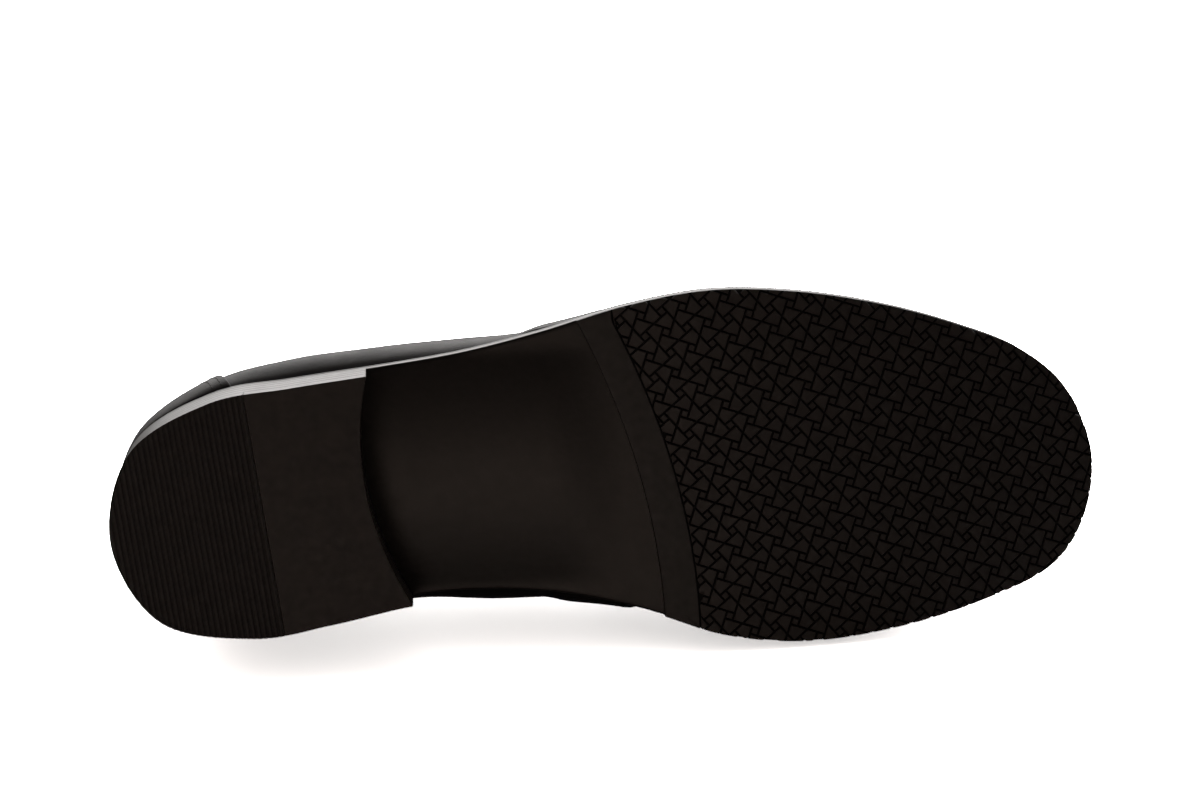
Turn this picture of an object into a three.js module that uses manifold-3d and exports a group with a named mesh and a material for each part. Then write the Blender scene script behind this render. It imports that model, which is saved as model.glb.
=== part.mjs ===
// A right-foot bowling shoe: a low, laced leather upper on a welted sole with a block heel.
// Millimetres, +Z up, toe towards +X, inner (medial) side towards +Y, standing on its heel and tread.
import * as THREE from "three";
import { mergeVertices } from "three/addons/utils/BufferGeometryUtils.js";
import Module from "manifold-3d";

const wasm = await Module();
wasm.setup();

// ---- Driving dimensions, mm -------------------------------------------------------------------
const SOLE_LENGTH = 303.8; // heel back to toe tip, along the outsole
const SOLE_WIDTH = 110.4; // across the ball of the foot
const HEEL_HEIGHT = 21; // ground to the underside of the outsole, at the back
const HEEL_PITCH = 1; // how much lower that underside is at the heel breast
const TOP_PIECE_T = 6; // the layer that walks on the ground
const HEEL_LIFTS = 3; // stacked lifts between the top piece and the outsole
const BREAST_HOLLOW = 7.2; // depth of the concave heel front
const TIP_LENGTH = 46.8; // heel back to the front edge of the ribbed rubber tip
const TIP_SKEW = 7.7; // how much longer the tip is along its inner side
const TREAD_T = 2.5;
const TREAD_BULGE = 5.2; // how far the tread's rear edge bows towards the toe
const TOE_SPRING = 10; // rise of the tread under the toe tip
const OUTSOLE_T = 4;
const WELT_T = 2.5;
const WELT_WIDTH = 12;
const INSOLE_T = 2.8;
const SOCK_T = 1.2;
const SHANK_LENGTH = 112;
const SHANK_WIDTH = 14;
const SHANK_T = 1.4;
const NAIL_R = 1.2;
const NAIL_HEAD_R = 2.4;
const NAIL_HEAD_T = 1;
const NAIL_BITE = 2.5; // how far a nail goes into the top piece
const LINING_T = 2.2;
const THIN_LINING_T = 0.9; // where a stiffener lies behind it
const LEATHER_T = 1.4;
const TONGUE_T = 2.4;
const LACE_CLEARANCE = 5; // what is left between lining and tongue beside the lace
const FACING_GAP = 9; // from the crest to the facing's edge
const EYELET_INSET = 8; // from the facing's edge to an eyelet's centre
const EYELET_PAIRS = 5;
const EYELET_TO_VAMP = 3.14; // from the front eyelets' centres back to the vamp's rear edge
const TONGUE_LEAVES = 9.52; // from the top eyelets forwards to where the tongue leaves the last
const EYELET_BORE_R = 2.2;
const EYELET_WALL = 0.5;
const EYELET_FLANGE_R = 3.7;
const EYELET_FLANGE_T = 0.7;
const LACE_R = 1.2;
const BINDING_H = 2.2;
const GAP = 0.3; // between pieces that touch
const GLUE = 0.25; // between the layers of the sole

// ---- Colours ----------------------------------------------------------------------------------
const finish = (color, roughness, metalness = 0) =>
  new THREE.MeshStandardMaterial({ color, roughness, metalness });
const LEATHER = finish(0x17130f, 0.45);
const EDGE = finish(0x1b1512, 0.3);
const RUBBER = finish(0x141210, 0.75);
const LINING = finish(0x8a6a48, 0.7);
const BOARD = finish(0x9c7b55, 0.85);
const CORK = finish(0x8d6a42, 0.95);
const STEEL = finish(0x9a9c9e, 0.35, 1);
const BLACK_METAL = finish(0x1c1c1e, 0.4, 1);
const LACE = finish(0x0f0e0e, 0.8);

// ---- The sole's outline and the last's crest --------------------------------------------------
// Stations run from the heel back along the outer side to the toe, then back along the inner side.
const HALF = 14; // station of the toe tip; station HALF * 2 - t lies across from station t
const NOMINAL = { length: 303.8, width: 110.4 };
const OUTLINE = [
  [-149.3, 8.1], [-141.9, -19.2], [-117.2, -33.0], [-92, -36.2], [-66, -38.7], [-40, -42.0],
  [-15, -47.4], [10, -54.1], [36, -57.8], [62, -56.0], [88, -50.6], [112, -42.6], [133, -32.8],
  [147.5, -18.6], [154.3, 2.0], [150.5, 22], [139, 36], [116, 44.7], [90, 50.4], [62, 52.6],
  [36, 49.0], [12, 40.2], [-12, 34.3], [-36, 32.3], [-59, 33.3], [-84, 37.4], [-108.2, 40.0],
  [-136.1, 33.0],
].map(([x, y]) => [
  (x * SOLE_LENGTH) / NOMINAL.length,
  (y * SOLE_WIDTH) / NOMINAL.width,
]);
// How far the lining's foot stands in from the sole's edge, station by station.
const FOOT_INSET = [
  5.0, 5.0, 4.6, 4.4, 4.2, 4.2, 5.0, 6.5, 7.8, 8.2, 8.2, 8.2, 8.2, 8.2, 8.2, 8.2, 8.2, 8.2, 8.2,
  7.8, 6.8, 5.0, 3.8, 3.2, 3.6, 4.2, 4.6, 5.0,
];
// The crest of the last: the topline round the ankle, then the ridge down the instep to the toe.
// Each row: x, y outer, y inner, height above the welt, side rise, bulge outer, bulge inner, shoulder.
const CREST_HALF = [
  [-139.5, 6.9, 6.9, 62.5, 22, 3.5, 3.5, 3],
  [-133, -8.0, 20.0, 61, 22, 3.5, 6, 3],
  [-114, -19.7, 27.3, 55, 20, 8, 10, 3],
  [-90, -25.2, 26.8, 51.7, 19, 12, 13, 3],
  [-64, -27.0, 22.5, 56.3, 20, 11, 15, 3],
  [-42, -20.0, 13.0, 72, 24, 8.5, 22, 7],
  [-20, -3.0, -3.0, 79.5, 27, 2.5, 19.5, 21],
  [8, -2.0, -2.0, 71.4, 27, 2, 14, 24],
  [34, -1.0, -1.0, 61.5, 26, 4, 8, 26],
  [60, 0.5, 0.5, 51.5, 24, 3, 5, 26],
  [86, 2.0, 2.0, 42.8, 22, 3, 3, 26],
  [107, 3.0, 3.0, 36.5, 20, 3, 3, 24],
  [121, 3.5, 3.5, 32, 18, 3, 3, 19],
  [129, 4.0, 4.0, 29, 17, 2.5, 2.5, 14],
  [132, 4.2, 4.2, 27.8, 16, 2, 2, 12],
];
const CREST_DROP = [16, 16, 15, 14, 13, 8, 0, 0, 0, 0, 0, 0, 0, 0, 0];
const CREST = Array.from({ length: 2 * HALF }, (_, k) => {
  const inner = k > HALF;
  const i = inner ? 2 * HALF - k : k;
  const [x, outerY, innerY, height, rise, outerBulge, innerBulge, shoulder] = CREST_HALF[i];
  return [
    (x * SOLE_LENGTH) / NOMINAL.length,
    ((inner ? innerY : outerY) * SOLE_WIDTH) / NOMINAL.width,
    height,
    rise,
    inner ? innerBulge : outerBulge,
    shoulder,
    CREST_DROP[i],
  ];
});

// ---- Small mathematics ------------------------------------------------------------------------
const lerp = (a, b, f) => a + (b - a) * f;
const clamp01 = (f) => Math.min(1, Math.max(0, f));
const smooth = (from, to, value) => {
  const f = clamp01((value - from) / (to - from));
  return f * f * (3 - 2 * f);
};
const across = (t) => 2 * HALF - t;
const vec = (x, y, z) => new THREE.Vector3(x, y, z);

// Catmull-Rom through rows of numbers that close on themselves.
function ringAt(rows, t) {
  const n = rows.length;
  const i = Math.floor(t);
  const f = t - i;
  const [a, b, c, d] = [-1, 0, 1, 2].map((k) => rows[(((i + k) % n) + n) % n]);
  return b.map(
    (_, k) =>
      0.5 *
      (2 * b[k] +
        (c[k] - a[k]) * f +
        (2 * a[k] - 5 * b[k] + 4 * c[k] - d[k]) * f * f +
        (3 * b[k] - a[k] - 3 * c[k] + d[k]) * f * f * f),
  );
}

// The outline moved in by an inset, along its own normal.
function outline(t, inset = 0) {
  const [x, y] = ringAt(OUTLINE, t);
  if (inset === 0) return [x, y];
  const [x0, y0] = ringAt(OUTLINE, t - 0.02);
  const [x1, y1] = ringAt(OUTLINE, t + 0.02);
  const d = Math.hypot(x1 - x0, y1 - y0);
  return [x - (inset * (y1 - y0)) / d, y + (inset * (x1 - x0)) / d];
}

// ---- Side profile -----------------------------------------------------------------------------
const HEEL_BACK_X = OUTLINE[0][0];
const BREAST_X = OUTLINE[4][0] - 4;
const SEAT_END_X = BREAST_X - 14;
const TOE_X = OUTLINE[HALF][0];
const BALL_X = TOE_X - 0.344 * SOLE_LENGTH;

// Height of the outsole's underside: level over the heel, down through the arch, up at the toe.
function underside(x) {
  const seat = SEAT_END_X - HEEL_BACK_X;
  if (x < SEAT_END_X) return HEEL_HEIGHT - (HEEL_PITCH * (x - HEEL_BACK_X)) / seat;
  if (x < BALL_X) {
    const arch = BALL_X - SEAT_END_X;
    const f = (x - SEAT_END_X) / arch;
    const start = 2 * f ** 3 - 3 * f ** 2 + 1;
    const slope = (f ** 3 - 2 * f ** 2 + f) * arch * (-HEEL_PITCH / seat);
    return start * (HEEL_HEIGHT - HEEL_PITCH) + slope + (1 - start) * TREAD_T;
  }
  return TREAD_T + TOE_SPRING * ((x - BALL_X) / (TOE_X - BALL_X)) ** 2;
}
const weltTop = (x) => underside(x) + OUTSOLE_T + WELT_T;

// ---- The last: the inner face of the upper ----------------------------------------------------
// t is the station round the outline, v runs from the welt (0) to the crest (1).
function last(t, v) {
  const [bx, by] = outline(t, ringAt(FOOT_INSET.map((d) => [d]), t)[0]);
  const [cx, cy, height, rise, bulge, shoulder, drop] = ringAt(CREST, t);
  const reach = Math.hypot(bx - cx, by - cy);
  const [ox, oy] = [(bx - cx) / reach, (by - cy) / reach];
  const baseZ = weltTop(bx) + GAP;
  const crestZ = weltTop(cx) + height;
  const points = [
    [bx, by, baseZ],
    [bx + ox * bulge, by + oy * bulge, baseZ + rise],
    [cx + ox * shoulder, cy + oy * shoulder, crestZ - drop],
    [cx, cy, crestZ],
  ];
  const weights = [(1 - v) ** 3, 3 * v * (1 - v) ** 2, 3 * v * v * (1 - v), v ** 3];
  return vec(...[0, 1, 2].map((k) => points.reduce((sum, p, i) => sum + p[k] * weights[i], 0)));
}

// Outward normal of the last, taken just short of the crest where the surface folds together.
function oneNormal(t, v) {
  const w = Math.min(v, 0.985);
  const along = last(t + 0.02, w).sub(last(t - 0.02, w));
  const up = last(t, w + 0.01).sub(last(t, Math.max(0, w - 0.01)));
  return along.cross(up).normalize();
}
function normal(t, v) {
  const n = oneNormal(t, v);
  const onRidge = ringAt(CREST, t)[0] > CREST_HALF[6][0];
  if (v > 0.999 && onRidge) return n.add(oneNormal(across(t), v)).normalize();
  n.z *= smooth(0, 0.1, v); // the foot of the upper stands level on the welt
  return n.normalize();
}

// A spot a given distance off the last; near the foot it keeps its height above the welt.
function skin(t, v, offset) {
  const base = last(t, v);
  const spot = base.clone().addScaledVector(normal(t, v), offset);
  spot.z += (1 - smooth(0, 0.15, v)) * (weltTop(spot.x) - weltTop(base.x));
  return spot;
}

// The value between low and high at which a test that holds at low stops holding.
function turning(low, high, holds) {
  for (let step = 0; step < 30; step++) {
    const mid = (low + high) / 2;
    if (holds(mid)) low = mid;
    else high = mid;
  }
  return high;
}

// The v at which the last is a given distance short of its crest.
function vShortOf(t, distance) {
  const crest = last(t, 1);
  return turning(0, 1, (v) => last(t, v).distanceTo(crest) > distance);
}

// ---- Making closed solids ---------------------------------------------------------------------
// Triangles over points; points that coincide are merged and triangles that collapse are dropped.
function solid(points, triangles) {
  const index = new Map();
  const kept = [];
  const id = points.map((p) => {
    const key = [p.x, p.y, p.z].map((c) => Math.round(c * 2000)).join();
    if (!index.has(key)) {
      index.set(key, kept.length / 3);
      kept.push(p.x, p.y, p.z);
    }
    return index.get(key);
  });
  const faces = triangles
    .map((f) => f.map((i) => id[i]))
    .filter(([a, b, c]) => a !== b && b !== c && a !== c);
  const geometry = new THREE.BufferGeometry();
  geometry.setAttribute("position", new THREE.Float32BufferAttribute(kept, 3));
  geometry.setIndex(faces.flat());
  return faceOut(geometry);
}

function signedVolume(geometry) {
  const p = geometry.getAttribute("position");
  const [a, b, c] = [vec(), vec(), vec()];
  let sum = 0;
  for (let i = 0; i < geometry.index.count; i += 3) {
    a.fromBufferAttribute(p, geometry.index.getX(i));
    b.fromBufferAttribute(p, geometry.index.getX(i + 1));
    c.fromBufferAttribute(p, geometry.index.getX(i + 2));
    sum += a.dot(b.cross(c)) / 6;
  }
  return sum;
}

function faceOut(geometry) {
  if (signedVolume(geometry) < 0) {
    const a = geometry.index.array;
    for (let i = 0; i < a.length; i += 3) [a[i + 1], a[i + 2]] = [a[i + 2], a[i + 1]];
  }
  geometry.computeVertexNormals();
  return geometry;
}

// A solid between two grids of points. Rows i from 0 to n, columns j from 0 to m.
// loop joins the last row to the first; zip leaves the last row open, where its halves coincide.
function slab(n, m, top, bottom, { loop = false, zip = false } = {}) {
  const points = [];
  for (const side of [top, bottom]) {
    for (let i = 0; i <= n; i++) for (let j = 0; j <= m; j++) points.push(side(i, j));
  }
  const at = (side, i, j) => side * (n + 1) * (m + 1) + i * (m + 1) + j;
  const faces = [];
  const quad = (a, b, c, d) => faces.push([a, b, c], [a, c, d]);
  for (let i = 0; i < n; i++) {
    for (let j = 0; j < m; j++) {
      quad(at(0, i, j), at(0, i + 1, j), at(0, i + 1, j + 1), at(0, i, j + 1));
      quad(at(1, i, j), at(1, i, j + 1), at(1, i + 1, j + 1), at(1, i + 1, j));
    }
    quad(at(0, i, 0), at(1, i, 0), at(1, i + 1, 0), at(0, i + 1, 0));
    quad(at(0, i, m), at(0, i + 1, m), at(1, i + 1, m), at(1, i, m));
  }
  for (let j = 0; j < m && !loop; j++) {
    quad(at(0, 0, j), at(0, 0, j + 1), at(1, 0, j + 1), at(1, 0, j));
    if (!zip) quad(at(0, n, j), at(1, n, j), at(1, n, j + 1), at(0, n, j + 1));
  }
  return solid(points, faces);
}

// A solid swept through rings of points, closed at both ends.
function sweep(rings) {
  const m = rings[0].length;
  const points = rings.flat();
  const faces = [];
  for (let i = 0; i + 1 < rings.length; i++) {
    for (let j = 0; j < m; j++) {
      const k = (j + 1) % m;
      faces.push([i * m + j, i * m + k, (i + 1) * m + k], [i * m + j, (i + 1) * m + k, (i + 1) * m + j]);
    }
  }
  const last = (rings.length - 1) * m;
  for (let j = 1; j + 1 < m; j++) faces.push([0, j + 1, j], [last, last + j, last + j + 1]);
  return solid(points, faces);
}

const toManifold = (geometry) => {
  const bare = new THREE.BufferGeometry();
  bare.setAttribute("position", geometry.getAttribute("position"));
  bare.setIndex(geometry.index);
  const merged = mergeVertices(bare, 1e-4);
  const mesh = new wasm.Mesh({
    numProp: 3,
    vertProperties: new Float32Array(merged.getAttribute("position").array),
    triVerts: new Uint32Array(merged.index.array),
  });
  return new wasm.Manifold(mesh);
};

function cutBy(geometry, cutters) {
  let body = toManifold(geometry);
  for (const cutter of cutters) body = body.subtract(toManifold(cutter));
  const mesh = body.getMesh();
  const made = new THREE.BufferGeometry();
  made.setAttribute("position", new THREE.BufferAttribute(new Float32Array(mesh.vertProperties), 3));
  made.setIndex(new THREE.BufferAttribute(new Uint32Array(mesh.triVerts), 1));
  made.computeVertexNormals();
  return made;
}

// A lathed piece stood on a point, its own axis along a direction.
function lathed(profile, point, direction, segments = 12) {
  const geometry = new THREE.LatheGeometry(
    profile.map(([r, h]) => new THREE.Vector2(r, h)),
    segments,
  );
  geometry.deleteAttribute("normal");
  geometry.deleteAttribute("uv");
  const turn = new THREE.Quaternion().setFromUnitVectors(vec(0, 1, 0), direction);
  geometry.applyMatrix4(new THREE.Matrix4().compose(point, turn, vec(1, 1, 1)));
  return faceOut(mergeVertices(geometry, 1e-4));
}
const rod = (radius, point, direction, length, segments = 10) =>
  lathed([[0, 0], [radius, 0], [radius, length], [0, length]], point, direction, segments);

const shoe = new THREE.Group();
function add(name, geometry, material) {
  const mesh = new THREE.Mesh(geometry, material);
  mesh.name = name;
  shoe.add(mesh);
  return mesh;
}

// ---- The sole ---------------------------------------------------------------------------------
// A flat layer between an outer and an inner stretch of the outline, with a bowed end.
// rows run from station 0 of the list to its end; each row is [outer t, inner t, bow towards the toe].
function layer(rows, inset, low, high, columns = 6) {
  const spot = (i, j) => {
    const [outer, inner, bow] = rows[i];
    const f = j / columns;
    const [ax, ay] = outline(outer, inset);
    const [bx, by] = outline(across(inner), inset);
    return [lerp(ax, bx, f) + bow * (1 - (2 * f - 1) ** 2), lerp(ay, by, f)];
  };
  const face = (height) => (i, j) => {
    const [x, y] = spot(i, j);
    return vec(x, y, height(x));
  };
  return slab(rows.length - 1, columns, face(high), face(low));
}
const span = (from, to, count, row) =>
  Array.from({ length: count + 1 }, (_, i) => row(lerp(from, to, i / count), i / count));

const BREAST_OUTER_T = 3.89;
const BREAST_INNER_T = 4.0;
const topPieceTop = () => TOP_PIECE_T;
const ground = () => 0;

// The heel seen from above between two cross lines, each an [outer t, inner t].
function heelRows(from, to, count, bowAt) {
  return span(0, 1, count, (f) => [lerp(from[0], to[0], f), lerp(from[1], to[1], f), bowAt(f)]);
}
const heelBack = [0, 0];
const breast = [BREAST_OUTER_T, BREAST_INNER_T];
const breastBow = (f) => -BREAST_HOLLOW * f ** 3;

// The cross line where the rubber tip ends, moved along the outline by a few hundredths of a station.
function tipLine(move) {
  const tipX = HEEL_BACK_X + TIP_LENGTH;
  const outer = turning(0.5, BREAST_OUTER_T, (t) => outline(t)[0] < tipX - TIP_SKEW / 2);
  const inner = turning(0.5, BREAST_INNER_T, (t) => outline(across(t))[0] < tipX + TIP_SKEW / 2);
  return [outer + move, inner + move];
}
const TIP_GAP_T = GAP / 50; // half the gap between tip and top piece, in stations

const NAIL_PLACES = [[-128, 22], [-130, -10], [-108, 26], [-99, -22], [-86, 2]];
const nailSpots = NAIL_PLACES.map(([x, y]) => [
  (x * SOLE_LENGTH) / NOMINAL.length,
  (y * SOLE_WIDTH) / NOMINAL.width,
]);
const nailFoot = TOP_PIECE_T - NAIL_BITE;
const nailHead = (x) => underside(x) + OUTSOLE_T;
const nailHoles = () =>
  nailSpots.map(([x, y]) =>
    lathed(
      [
        [0, 0],
        [NAIL_R + GAP, 0],
        [NAIL_R + GAP, nailHead(x) - NAIL_HEAD_T - nailFoot],
        [NAIL_HEAD_R + GAP, nailHead(x) - NAIL_HEAD_T - nailFoot],
        [NAIL_HEAD_R + GAP, nailHead(x) - nailFoot + 1],
        [0, nailHead(x) - nailFoot + 1],
      ],
      vec(x, y, nailFoot - GAP),
      vec(0, 0, 1),
      10,
    ),
  );

function buildHeel() {
  const tip = heelRows(heelBack, tipLine(-TIP_GAP_T), 9, () => 0);
  const front = heelRows(tipLine(TIP_GAP_T), breast, 6, breastBow);
  const whole = heelRows(heelBack, breast, 12, breastBow);
  add("heel_rubber_tip", cutBy(layer(tip, 0, ground, topPieceTop), nailHoles()), RUBBER);
  add("heel_top_piece", cutBy(layer(front, 0, ground, topPieceTop), nailHoles()), EDGE);
  for (let k = 0; k < HEEL_LIFTS; k++) {
    const level = (share) => (x) => lerp(TOP_PIECE_T, underside(x), share);
    const low = (x) => level(k / HEEL_LIFTS)(x) + GLUE;
    const high = (x) => level((k + 1) / HEEL_LIFTS)(x) - (k + 1 === HEEL_LIFTS ? GLUE : 0);
    add("heel_lift_" + (k + 1), cutBy(layer(whole, 0, low, high), nailHoles()), EDGE);
  }
  nailSpots.forEach(([x, y], k) => {
    const length = nailHead(x) - nailFoot;
    const profile = [
      [0, 0],
      [NAIL_R, 1.5],
      [NAIL_R, length - NAIL_HEAD_T],
      [NAIL_HEAD_R, length - NAIL_HEAD_T],
      [NAIL_HEAD_R, length],
      [0, length],
    ];
    add("heel_nail_" + (k + 1), lathed(profile, vec(x, y, nailFoot), vec(0, 0, 1), 10), STEEL);
  });
}

const TREAD_OUTER_T = 6.44;
const TREAD_INNER_T = 7.25;
const wholeRows = (count) => span(0, HALF, count, (t) => [t, t, 0]);

function shankBox(grow) {
  const [x0, x1] = [BREAST_X - 34, BREAST_X - 34 + SHANK_LENGTH];
  const count = 14;
  const centre = (x) => lerp(2, -4, smooth(x0, x1, x));
  const place = (i, j, z) => {
    const x = lerp(x0 - grow, x1 + grow, i / count);
    const y = centre(x) + (j - 0.5) * (SHANK_WIDTH + 2 * grow);
    return vec(x, y, underside(x) + OUTSOLE_T + z);
  };
  return slab(
    count,
    1,
    (i, j) => place(i, j, 0.5 + SHANK_T + grow),
    (i, j) => place(i, j, 0.5 - grow),
  );
}

function buildSole() {
  const outsoleTop = (x) => underside(x) + OUTSOLE_T;
  add("outsole", cutBy(layer(wholeRows(28), 0, underside, outsoleTop, 4), nailHoles()), EDGE);
  const treadRows = span(0, 1, 16, (f) => [
    lerp(TREAD_OUTER_T, HALF, f),
    lerp(TREAD_INNER_T, HALF, f),
    TREAD_BULGE * (1 - f) ** 4,
  ]);
  const treadLow = (x) => underside(x) - TREAD_T;
  const treadHigh = (x) => underside(x) - GLUE;
  add("forefoot_tread", layer(treadRows, 0, treadLow, treadHigh, 6), RUBBER);

  const weltCount = 72;
  const weltFace = (height) => (i, j) => {
    const t = (2 * HALF * i) / weltCount;
    const [x, y] = outline(t, j === 0 ? 0 : WELT_WIDTH);
    return vec(x, y, height(x));
  };
  const weltLow = (x) => outsoleTop(x) + GLUE;
  add("welt", slab(weltCount, 1, weltFace(weltTop), weltFace(weltLow), { loop: true }), EDGE);

  const corkHigh = (x) => weltTop(x) - GLUE;
  const cork = layer(wholeRows(24), WELT_WIDTH + GAP, weltLow, corkHigh, 4);
  add("cork_filler", cutBy(cork, [shankBox(GAP)]), CORK);
  add("shank_spring", shankBox(0), STEEL);

  const insoleLow = (x) => weltTop(x) + GAP;
  const insoleHigh = (x) => insoleLow(x) + INSOLE_T;
  const insoleRows = (count) => span(0.02, HALF - 0.02, count, (t) => [t, t, 0]);
  const inside = (rows, low, high, extra) => {
    const columns = 4;
    const face = (height) => (i, j) => {
      const t = rows[i][0];
      const inset = (s) => ringAt(FOOT_INSET.map((d) => [d]), s)[0] + extra;
      const [ax, ay] = outline(t, inset(t));
      const [bx, by] = outline(across(t), inset(across(t)));
      const [x, y] = [lerp(ax, bx, j / columns), lerp(ay, by, j / columns)];
      return vec(x, y, height(x));
    };
    return slab(rows.length - 1, columns, face(high), face(low));
  };
  add("insole", inside(insoleRows(22), insoleLow, insoleHigh, 0.8), BOARD);
  const sockLow = (x) => insoleHigh(x) + GLUE;
  const sockHigh = (x) => sockLow(x) + SOCK_T;
  add("sock_liner", inside(insoleRows(22), sockLow, sockHigh, 1.6), LINING);
}

// ---- The upper --------------------------------------------------------------------------------
const OUTER_OFFSET = LINING_T + GAP; // inner face of the outer leather
const OVERLAY_OFFSET = OUTER_OFFSET + LEATHER_T + 2 * GAP; // where one leather lies on another
const STIFF_OFFSET = THIN_LINING_T + GAP;
const STIFF_T = LINING_T - STIFF_OFFSET;
const THROAT_T = 8.3; // station of the throat, where the facings begin
const QUARTER_FOOT_T = 6.7; // station where the quarter's front edge meets the welt
const COUNTER_FOOT_T = 2.25;
const COUNTER_TOP_T = 1.1;
const COUNTER_COLUMNS = 6; // how many of the upper's columns the counter patch is tall
const BACK_SEAM_T = 0.015;

// Height of the quarter's inner face off the last: it steps up to lie on the vamp.
const quarterLow = (t, v0) =>
  lerp(OUTER_OFFSET, OVERLAY_OFFSET, smooth(quarterFront(v0) - 1.2, quarterFront(v0) - 0.75, t));
const quarterFront = (v) =>
  lerp(QUARTER_FOOT_T, THROAT_T, v ** 1.25 - 0.12 * smooth(0.82, 1, v));
const vampRear = (v) => lerp(QUARTER_FOOT_T - 0.45, THROAT_T - 0.2, v ** 1.25);
const facingShort = (t) =>
  FACING_GAP * smooth(4.7, 5.75, t) + 5 * smooth(THROAT_T - 0.6, THROAT_T - 0.2, t);
const topEdge = (t) => {
  const short = facingShort(t);
  return short < 0.01 ? 1 : vShortOf(t, short);
};

// Stations that every layer of the upper shares, so that no layer cuts a corner.
const HEEL_STATIONS = [BACK_SEAM_T, 0.25, 0.5, 0.75, 1.05, 1.4, 1.85, 2.4, 3];
const SIDE_STATIONS = [...HEEL_STATIONS, 3.5, 4, 4.4, 4.8, 5.2, 5.6];
const UPPER_COLUMNS = 8;

// The front edge of a lining, where its own height share meets the vamp's rear edge.
function meetVamp(v0) {
  let t = vampRear(v0);
  for (let step = 0; step < 8; step++) t = vampRear(v0 * topEdge(t));
  return t - 0.06;
}

// A patch of the upper on one side. inner mirrors the station to the inner side of the foot.
function patch({ rows, inner, front, top, low, thick }) {
  const columns = UPPER_COLUMNS;
  const shared = SIDE_STATIONS.length - 1;
  const grid = (raise) => (i, j) => {
    const v0 = j / columns;
    const past = Math.max(0, i - shared) / (rows - shared);
    const t = lerp(SIDE_STATIONS[Math.min(i, shared)], front(v0), past);
    const v = v0 * top(t);
    const station = inner ? across(t) : t;
    return skin(station, v, low(t, v0) + raise * thick(t, v0));
  };
  return slab(rows, columns, grid(1), grid(0));
}

// A patch that crosses the crest and closes round the toe.
function dome({ rows, columns, rear, low, thick }) {
  const grid = (raise) => (i, j) => {
    const f = (2 * j) / columns;
    const v = f <= 1 ? f : 2 - f;
    const t = lerp(rear(v), HALF, i / rows);
    return skin(f <= 1 ? t : across(t), v, low(t) + raise * thick(t));
  };
  return slab(rows, columns, grid(1), grid(0), { zip: true });
}

const puffRear = 11.1;
const counterFrontT = (v) => lerp(COUNTER_FOOT_T, COUNTER_TOP_T, v ** 1.6);
const liningThickness = (t) => lerp(THIN_LINING_T, LINING_T, smooth(2.6, 3.0, t));
const vampLiningThickness = (t) => lerp(LINING_T, THIN_LINING_T, smooth(puffRear - 1.1, puffRear - 0.6, t));

// The front eyelets stand clear of the vamp's rear edge on both sides of the foot.
const TOP_EYELET_T = 5.8;
const frontEyeletT = turning(TOP_EYELET_T, THROAT_T, (t) =>
  [t, across(t)].every((station) => {
    const v = vShortOf(station, FACING_GAP + EYELET_INSET);
    const rear = vampRear(v);
    const edge = last(station === t ? rear : across(rear), v);
    return t < rear && edge.distanceTo(last(station, v)) > EYELET_TO_VAMP;
  }),
);

function eyeletFrames(inner) {
  const stations = span(frontEyeletT, TOP_EYELET_T, EYELET_PAIRS - 1, (t) => t);
  return stations.map((t) => {
    const station = inner ? across(t) : t;
    const v = vShortOf(station, FACING_GAP + EYELET_INSET);
    const edge = vShortOf(station, FACING_GAP);
    const under = Math.max(quarterLow(t - 0.16, v / edge), quarterLow(t + 0.16, v / edge));
    const top = under + LEATHER_T + GAP / 2;
    return { t, station, v, edge, top, point: last(station, v), out: normal(station, v) };
  });
}

const eyeletHoles = (inner) =>
  eyeletFrames(inner).map(({ point, out }) =>
    rod(EYELET_BORE_R + EYELET_WALL + GAP, point.clone().addScaledVector(out, -3), out, 12, 8),
  );

function buildUpper() {
  for (const inner of [false, true]) {
    const side = inner ? "medial" : "lateral";
    const quarter = patch({
      rows: 20,
      inner,
      front: quarterFront,
      top: topEdge,
      low: quarterLow,
      thick: () => LEATHER_T,
    });
    add("quarter_" + side, cutBy(quarter, eyeletHoles(inner)), LEATHER);
    const lining = patch({
      rows: 19,
      inner,
      front: meetVamp,
      top: topEdge,
      low: () => 0,
      thick: liningThickness,
    });
    add("quarter_lining_" + side, cutBy(lining, eyeletHoles(inner)), LINING);
  }
  add(
    "vamp",
    dome({ rows: 12, columns: 16, rear: vampRear, low: () => OUTER_OFFSET, thick: () => LEATHER_T }),
    LEATHER,
  );
  add(
    "vamp_lining",
    dome({ rows: 12, columns: 16, rear: vampRear, low: () => 0, thick: vampLiningThickness }),
    LINING,
  );
  add(
    "toe_puff",
    dome({ rows: 6, columns: 16, rear: () => puffRear, low: () => STIFF_OFFSET, thick: () => STIFF_T - GAP }),
    BOARD,
  );

  // A patch across the back of the heel, up to a whole number of the upper's columns.
  const backPatch = (stations, columns, low, thick) => {
    const grid = (raise) => (i, j) => {
      const v = j / UPPER_COLUMNS;
      return skin(stations(i, v), v, low + raise * thick);
    };
    const rows = 2 * (HEEL_STATIONS.length - 1);
    return slab(rows - 2, columns, grid(1), grid(0));
  };
  const half = HEEL_STATIONS.length - 2;
  const stiffenerStation = (i) => (i < half ? -HEEL_STATIONS[half - i] : i === half ? 0 : HEEL_STATIONS[i - half]);
  const counterStation = (i, v) => stiffenerStation(i) * (counterFrontT(v) / HEEL_STATIONS[half]);
  add("heel_stiffener", backPatch(stiffenerStation, 6, STIFF_OFFSET, STIFF_T - GAP), BOARD);
  add("counter_patch", backPatch(counterStation, COUNTER_COLUMNS, OVERLAY_OFFSET, LEATHER_T), LEATHER);
}

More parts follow.
